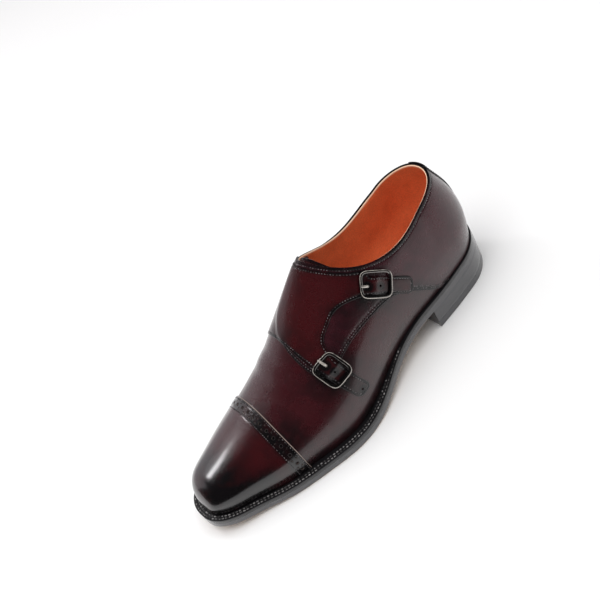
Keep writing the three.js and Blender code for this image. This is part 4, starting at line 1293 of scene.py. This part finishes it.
def plate(rings, count):
    """Solid from rings bottom to top, capped by strips from side to side."""
    verts, faces = swept(rings, False)
    n, m = len(rings[0]), len(rings)
    other = lambda i: (n - i) % n
    for k, flip in ((0, True), ((m - 1) * n, False)):
        for i in range(n // 2):
            quad = (k + i, k + i + 1, k + other(i + 1), k + other(i))
            quad = tuple(dict.fromkeys(quad))
            if len(quad) > 2:
                faces.append(quad[::-1] if not flip else quad)
    return verts, faces


sole_profile = ((-2.2, 0.0), (-.7, .04), (-.3, .12), (-.08, .3), (0, .7), (.02, 2.4), (.02, 4.0), (.02, 4.7), (-.06, 4.93), (-1.2, 4.96))
ahead = smooth((station(np.linspace(0, 1, 150)) - BREAST + 1) / 5)
verts, faces = plate([loop(e * ahead if z < 1 else e, z) for e, z in sole_profile], 150)
rise = np.repeat([z for _, z in sole_profile], len(loop(0, 0)))
loop_ahead = smooth((loop(0, 0)[:, 0] - BREAST - 2) / 6)
dress(make("outsole_leather", verts, faces, {"edge": (rise + 9 * (1 - np.tile(loop_ahead, len(sole_profile)))) * MM}, 40), SOLE_EDGE, "sole_leather", "outsole")

welt_profile = ((-2.6, 5.02, False), (-.7, 5.02, True), (-.05, 5.05, True), (.02, 5.2, True), (.02, 6.6, True),
                (-.02, 7.4, True), (-.2, 7.85, True), (-.55, 8.08, True), (-1.1, 8.12, True), (-1.65, 7.9, True),
                (-2.2, 8.12, True), (.9, 8.1, False), (-.6, 8.16, False), (-2.6, 8.18, False))
rings = [loop(e, z, margin) for e, z, margin in welt_profile]
verts, faces = swept(rings, True)
flat = np.concatenate([np.full(len(ring), float(z > 7.9)) for (_, z, _), ring in zip(welt_profile, rings)])
dress(make("welt_leather_strip", verts, faces, {"dull": flat}, 40), WELT_BLACK, "welt_leather", "welt")

insole_profile = ((-2.9, 5.4), (-2.9, 10.2), (-3.2, 10.6), (-3.9, 10.7))
verts, faces = plate([loop(e, z, False) for e, z in insole_profile], 150)
dress(make("insole_leather", verts, faces, {"edge": np.zeros(len(verts))}, 40), SOCK, "lining", "insole")


def heel_ring(extra, lift, level):
    """Ring round the heel at one height: back outline and a gently hollow breast."""
    t = np.linspace(0, float(station_at(BREAST)), 60)
    left, right = sole_edge(t, 1, extra), sole_edge(t, -1, extra)
    z = level(left[:, 0])
    breast_y = np.linspace(left[-1, 1], right[-1, 1], 13)[1:-1]
    hollow = 1.6 * (1 - (2 * (breast_y - breast_y.mean()) / (left[-1, 1] - right[-1, 1])) ** 2)
    breast = np.column_stack([BREAST + lift - hollow, breast_y, level(np.full(11, BREAST - 1.0))])
    sides = [np.column_stack([left, z]), breast, np.column_stack([right, level(right[:, 0])])[1:][::-1]]
    return np.concatenate(sides)


def heel_solid(levels):
    rings = [heel_ring(*level) for level in levels]
    verts, faces = swept(rings, False)
    n, m = len(rings[0]), len(rings)
    left, right = 60, 59
    for k, flip in ((0, True), ((m - 1) * n, False)):
        middle = len(verts)
        verts = np.concatenate([verts, [rings[0 if k == 0 else -1].mean(0)]])
        for i in range(n):
            tri = (k + i, k + (i + 1) % n, middle)
            faces.append(tri if not flip else tri[::-1])
    return verts, faces


def between(low_z, high, share):
    return lambda x: low_z + (high(x) - low_z) * share


heel_levels = [(-1.2 + 1.15 * s - .07 * (1 if s in (0, 1) else 0), 0.05 + .3 * s,
                between(TOP_PIECE + .05, lambda x: sole_bottom(x) - .04, s))
               for s in (0, .012, .2, .4, .6, .8, .988, 1)]
verts, faces = heel_solid(heel_levels)
dress(make("heel_stack_leather", verts, faces, {"edge": np.zeros(len(verts))}, 35), HEEL_EDGE, "heel_leather", "heel_stack")
top_levels = [(-1.9, -.35, lambda x: 0 * x), (-1.5, 0.0, lambda x: 0 * x + .5), (-1.22, 0.05, lambda x: 0 * x + 5.9),
              (-1.3, .0, lambda x: 0 * x + 5.98)]
verts, faces = heel_solid(top_levels)
dress(make("heel_rubber_piece", verts, faces, {"edge": np.zeros(len(verts))}, 35), HEEL_RUBBER, "heel_rubber",
      "heel_top_piece")


# ------------------------------------------------------------------ buckles
def tube(centres, ups, acrosses, wide, high, closed, sides=14, power=2.3):
    a = 2 * np.pi * (np.arange(sides) + .5) / sides
    c, s = np.cos(a), np.sin(a)
    r = (np.abs(c) ** power + np.abs(s) ** power) ** (-1 / power)
    wide, high = np.broadcast_to(wide, len(centres)), np.broadcast_to(high, len(centres))
    rings = [p + np.outer(c * r, v) * w / 2 + np.outer(s * r, u) * h / 2
             for p, u, v, w, h in zip(centres, ups, acrosses, wide, high)]
    verts, faces = swept(rings, closed)
    if not closed:
        last = (len(rings) - 1) * sides
        faces += [tuple(range(sides))[::-1], tuple(last + i for i in range(sides))]
    return verts, faces


RING_SIDES = 30


def painted_highlight_line(count):
    """Painted highlight on each corner of a ring's wire: a narrow pale line on its outer upper edge."""
    a = 2 * np.pi * (np.arange(RING_SIDES) + .5) / RING_SIDES
    return np.tile(np.exp(-((a - math.radians(126)) / .17) ** 2), count)


def frame_ring(seat, spec):
    a = 2 * np.pi * np.arange(112) / 112
    c, s = np.cos(a), np.sin(a)
    r = (np.abs(c) ** 5 + np.abs(s) ** 5) ** (-1 / 5)
    long, wide = (spec["long"] - WIRE_WIDE) / 2, (spec["wide"] - WIRE_WIDE) / 2
    u, v = long * c * r, wide * s * r
    centres, ups = seat.on(u, v, 3.2 + .1)
    run = np.roll(centres, -1, 0) - np.roll(centres, 1, 0)
    run /= np.linalg.norm(run, axis=1)[:, None]
    across = np.cross(ups, run)
    across /= np.linalg.norm(across, axis=1)[:, None]
    return tube(centres, np.cross(run, across), across, WIRE_WIDE, WIRE_HIGH, True, RING_SIDES)


PRONG_PATH = table("s back lift", (0, 5.4, 1.6), (1, 5.0, 3.2), (2, 3.8, 4.5), (3, 1.7, 5.2), (4, -1.4, 5.3))


def prong_solid(seat, spec):
    s = np.linspace(0, 4, 26)
    along = Curve(PRONG_PATH, "s", "back")(s) - (spec["long"] - WIRE_WIDE) / 2
    lift = Curve(PRONG_PATH, "s", "lift")(s)
    spots = seat.spot(along, strap_middle(spec, along))
    normal = last_normal(spots[:, 0], spots[:, 1])
    centres = last_point(spots[:, 0], spots[:, 1]) + normal * lift[:, None]
    run = np.gradient(centres, axis=0)
    run /= np.linalg.norm(run, axis=1)[:, None]
    across = seat.across - run * (run @ seat.across)[:, None]
    across /= np.linalg.norm(across, axis=1)[:, None]
    size = PRONG_THICK * np.interp(s, (0, 1, 3, 3.6, 3.85, 4), (1, 1.05, 1, .92, .75, .35))
    return tube(centres, np.cross(run, across), across, size * 1.1, size * .9, False, 12, 2)


# Frames carry a painted highlight along their outer upper ridge; prongs are paler all over, partly painted highlight.
for name, spec in BUCKLES.items():
    verts, faces = frame_ring(seats[name], spec)
    dress(make(f"{name}_buckle_frame", verts, faces, {"wear_and_highlight": painted_highlight_line(112)}, 60), GUNMETAL, "buckle_metal", f"buckle_{name}")
    verts, faces = prong_solid(seats[name], spec)
    dress(make(f"{name}_buckle_prong", verts, faces, {"wear_and_highlight": np.full(len(verts), .6)}, 60), PALE_METAL, "buckle_metal", f"prong_{name}")


# ------------------------------------------------------------------ stitches and punched rims
stitch("quarter_stitches", quarter_seam, .08, DARK_THREAD, "upper_leather", 2.0, 1.15, .72, .62)
stitch("flap_stitches", flap_seam, .08, DARK_THREAD, "flap_leather", 2.0, 1.15, .72, .62)
stitch("cap_stitches", cap_seam + cap_seam_2, 1.12, DARK_THREAD, "cap_leather", 2.0, 1.15, .66, .6)
stitch("backstay_stitches", stay_seam, 1.93, DARK_THREAD, "stay_leather", 2.0, 1.15, .66, .55)

t = np.linspace(0, 1, 260)
welt_runs = []
for extra, least in ((-1.65, 3.4), (-3.9, 5.6)):
    for side in (1, -1):
        wide = sole_margin(station(t), side > 0)
        keep = (wide > least) & (t < .998)
        line = sole_edge(t, side, extra)[keep]
        z = sole_bottom(line[:, 0]) + 8.16
        welt_runs.append((np.column_stack([line, z]), np.tile([0.0, 0, 1], (len(line), 1))))
stitch("welt_stitches", welt_runs, 0.0, WELT_THREAD, "welt_leather", 2.8, 2.1, 1.25, .8)

places = np.array([c + n * 1.1 for c, n, _ in punches])
rims = grow("cap_punch_rims", RIMS, carrier_of("cap_punch_rims", places, [], np.array([n for _, n, _ in punches]),
                                              np.array([(r + .06) * MM for _, _, r in punches])),
            Wall=.12, Leather=HOLE_RIM)
dress(rims, None, "cap_leather")


# ------------------------------------------------------------------ floor, light and camera
def studio():
    """Pale seamless floor, large soft lights and a pale room."""
    bpy.ops.mesh.primitive_plane_add(size=8, location=(0, 0, 0))
    floor = bpy.context.object
    floor.name = "floor"
    material, tree, skin = new_material("pale floor")
    coords = node(tree, "ShaderNodeTexCoord", (-900, 0)).outputs["Object"]
    pale = blend_colour(tree, noise(tree, coords, 3.0), (.955, .955, .96, 1), (.975, .975, .98, 1))
    link(tree, (pale, skin.inputs["Base Color"]))
    skin.inputs["Roughness"].default_value = .7
    floor.data.materials.append(material)
    for name, place, aim, size, power, colour, mirrored in (
            ("medial window", (.50, -1.42, .50), (.03, 0, .05), (1.2, 1.0), 2.6, (1, .95, .99), True),
            ("slim window", (.22, -1.06, .98), (.12, -.03, .05), (.20, .17), 1.8, (1, .98, 1), True),
            ("overhead", (.1, .1, 2.2), (0, 0, 0), (4.0, 4.0), 97, (1, .995, .99), False),
            ("heel fill", (-1.2, .9, .6), (-.05, 0, .05), (1.1, .6), 3, (1, .99, .98), False),
            ("toe fill", (1.5, .7, .7), (.05, 0, .05), (1.0, 1.0), 4, (1, 1, 1), False)):
        light = bpy.data.lights.new(name, "AREA")
        light.shape, light.size, light.size_y = "RECTANGLE", *size
        light.energy, light.color = power, colour
        lamp = bpy.data.objects.new(name, light)
        bpy.context.scene.collection.objects.link(lamp)
        lamp.location = place
        lamp.rotation_euler = (Vector(place) - Vector(aim)).to_track_quat("Z", "Y").to_euler()
        lamp.visible_glossy = mirrored
    world = bpy.data.worlds.new("room")
    world.use_nodes = True
    sky = world.node_tree.nodes["Background"]
    sky.inputs[0].default_value = (.97, .975, 1, 1)
    seen = node(world.node_tree, "ShaderNodeLightPath", (-600, 0)).outputs["Is Camera Ray"]
    world.node_tree.links.new(spread(world.node_tree, seen, 0.0, 1.0, .03, 1.0), sky.inputs[1])
    bpy.context.scene.world = world
    bpy.context.scene.view_settings.view_transform = "Standard"


def look():
    """Camera over the toe, tilted as the shoe was held up to view."""
    az, el, roll, distance = math.radians(161.87), math.radians(37.48), math.radians(-35.79), 823.9
    aim = np.array([136.94, -22.77, 68.61])
    back = np.array([math.sin(az) * math.cos(el), -math.cos(az) * math.cos(el), math.sin(el)])
    right = np.cross([0, 0, 1], back)
    right /= np.linalg.norm(right)
    up = np.cross(back, right)
    across = right * math.cos(roll) + up * math.sin(roll)
    upward = -right * math.sin(roll) + up * math.cos(roll)
    spot = (aim + back * distance + SHIFT) * MM
    lens = bpy.data.cameras.new("camera")
    lens.sensor_width, lens.lens = 36, 36 * 1104.95 / 600
    lens.clip_start = .01
    camera = bpy.data.objects.new("camera", lens)
    bpy.context.scene.collection.objects.link(camera)
    camera.matrix_world = Matrix([[*map(float, (across[i], upward[i], back[i], spot[i]))] for i in range(3)]
                                 + [[0, 0, 0, 1]])
    bpy.context.scene.camera = camera


studio()
look()
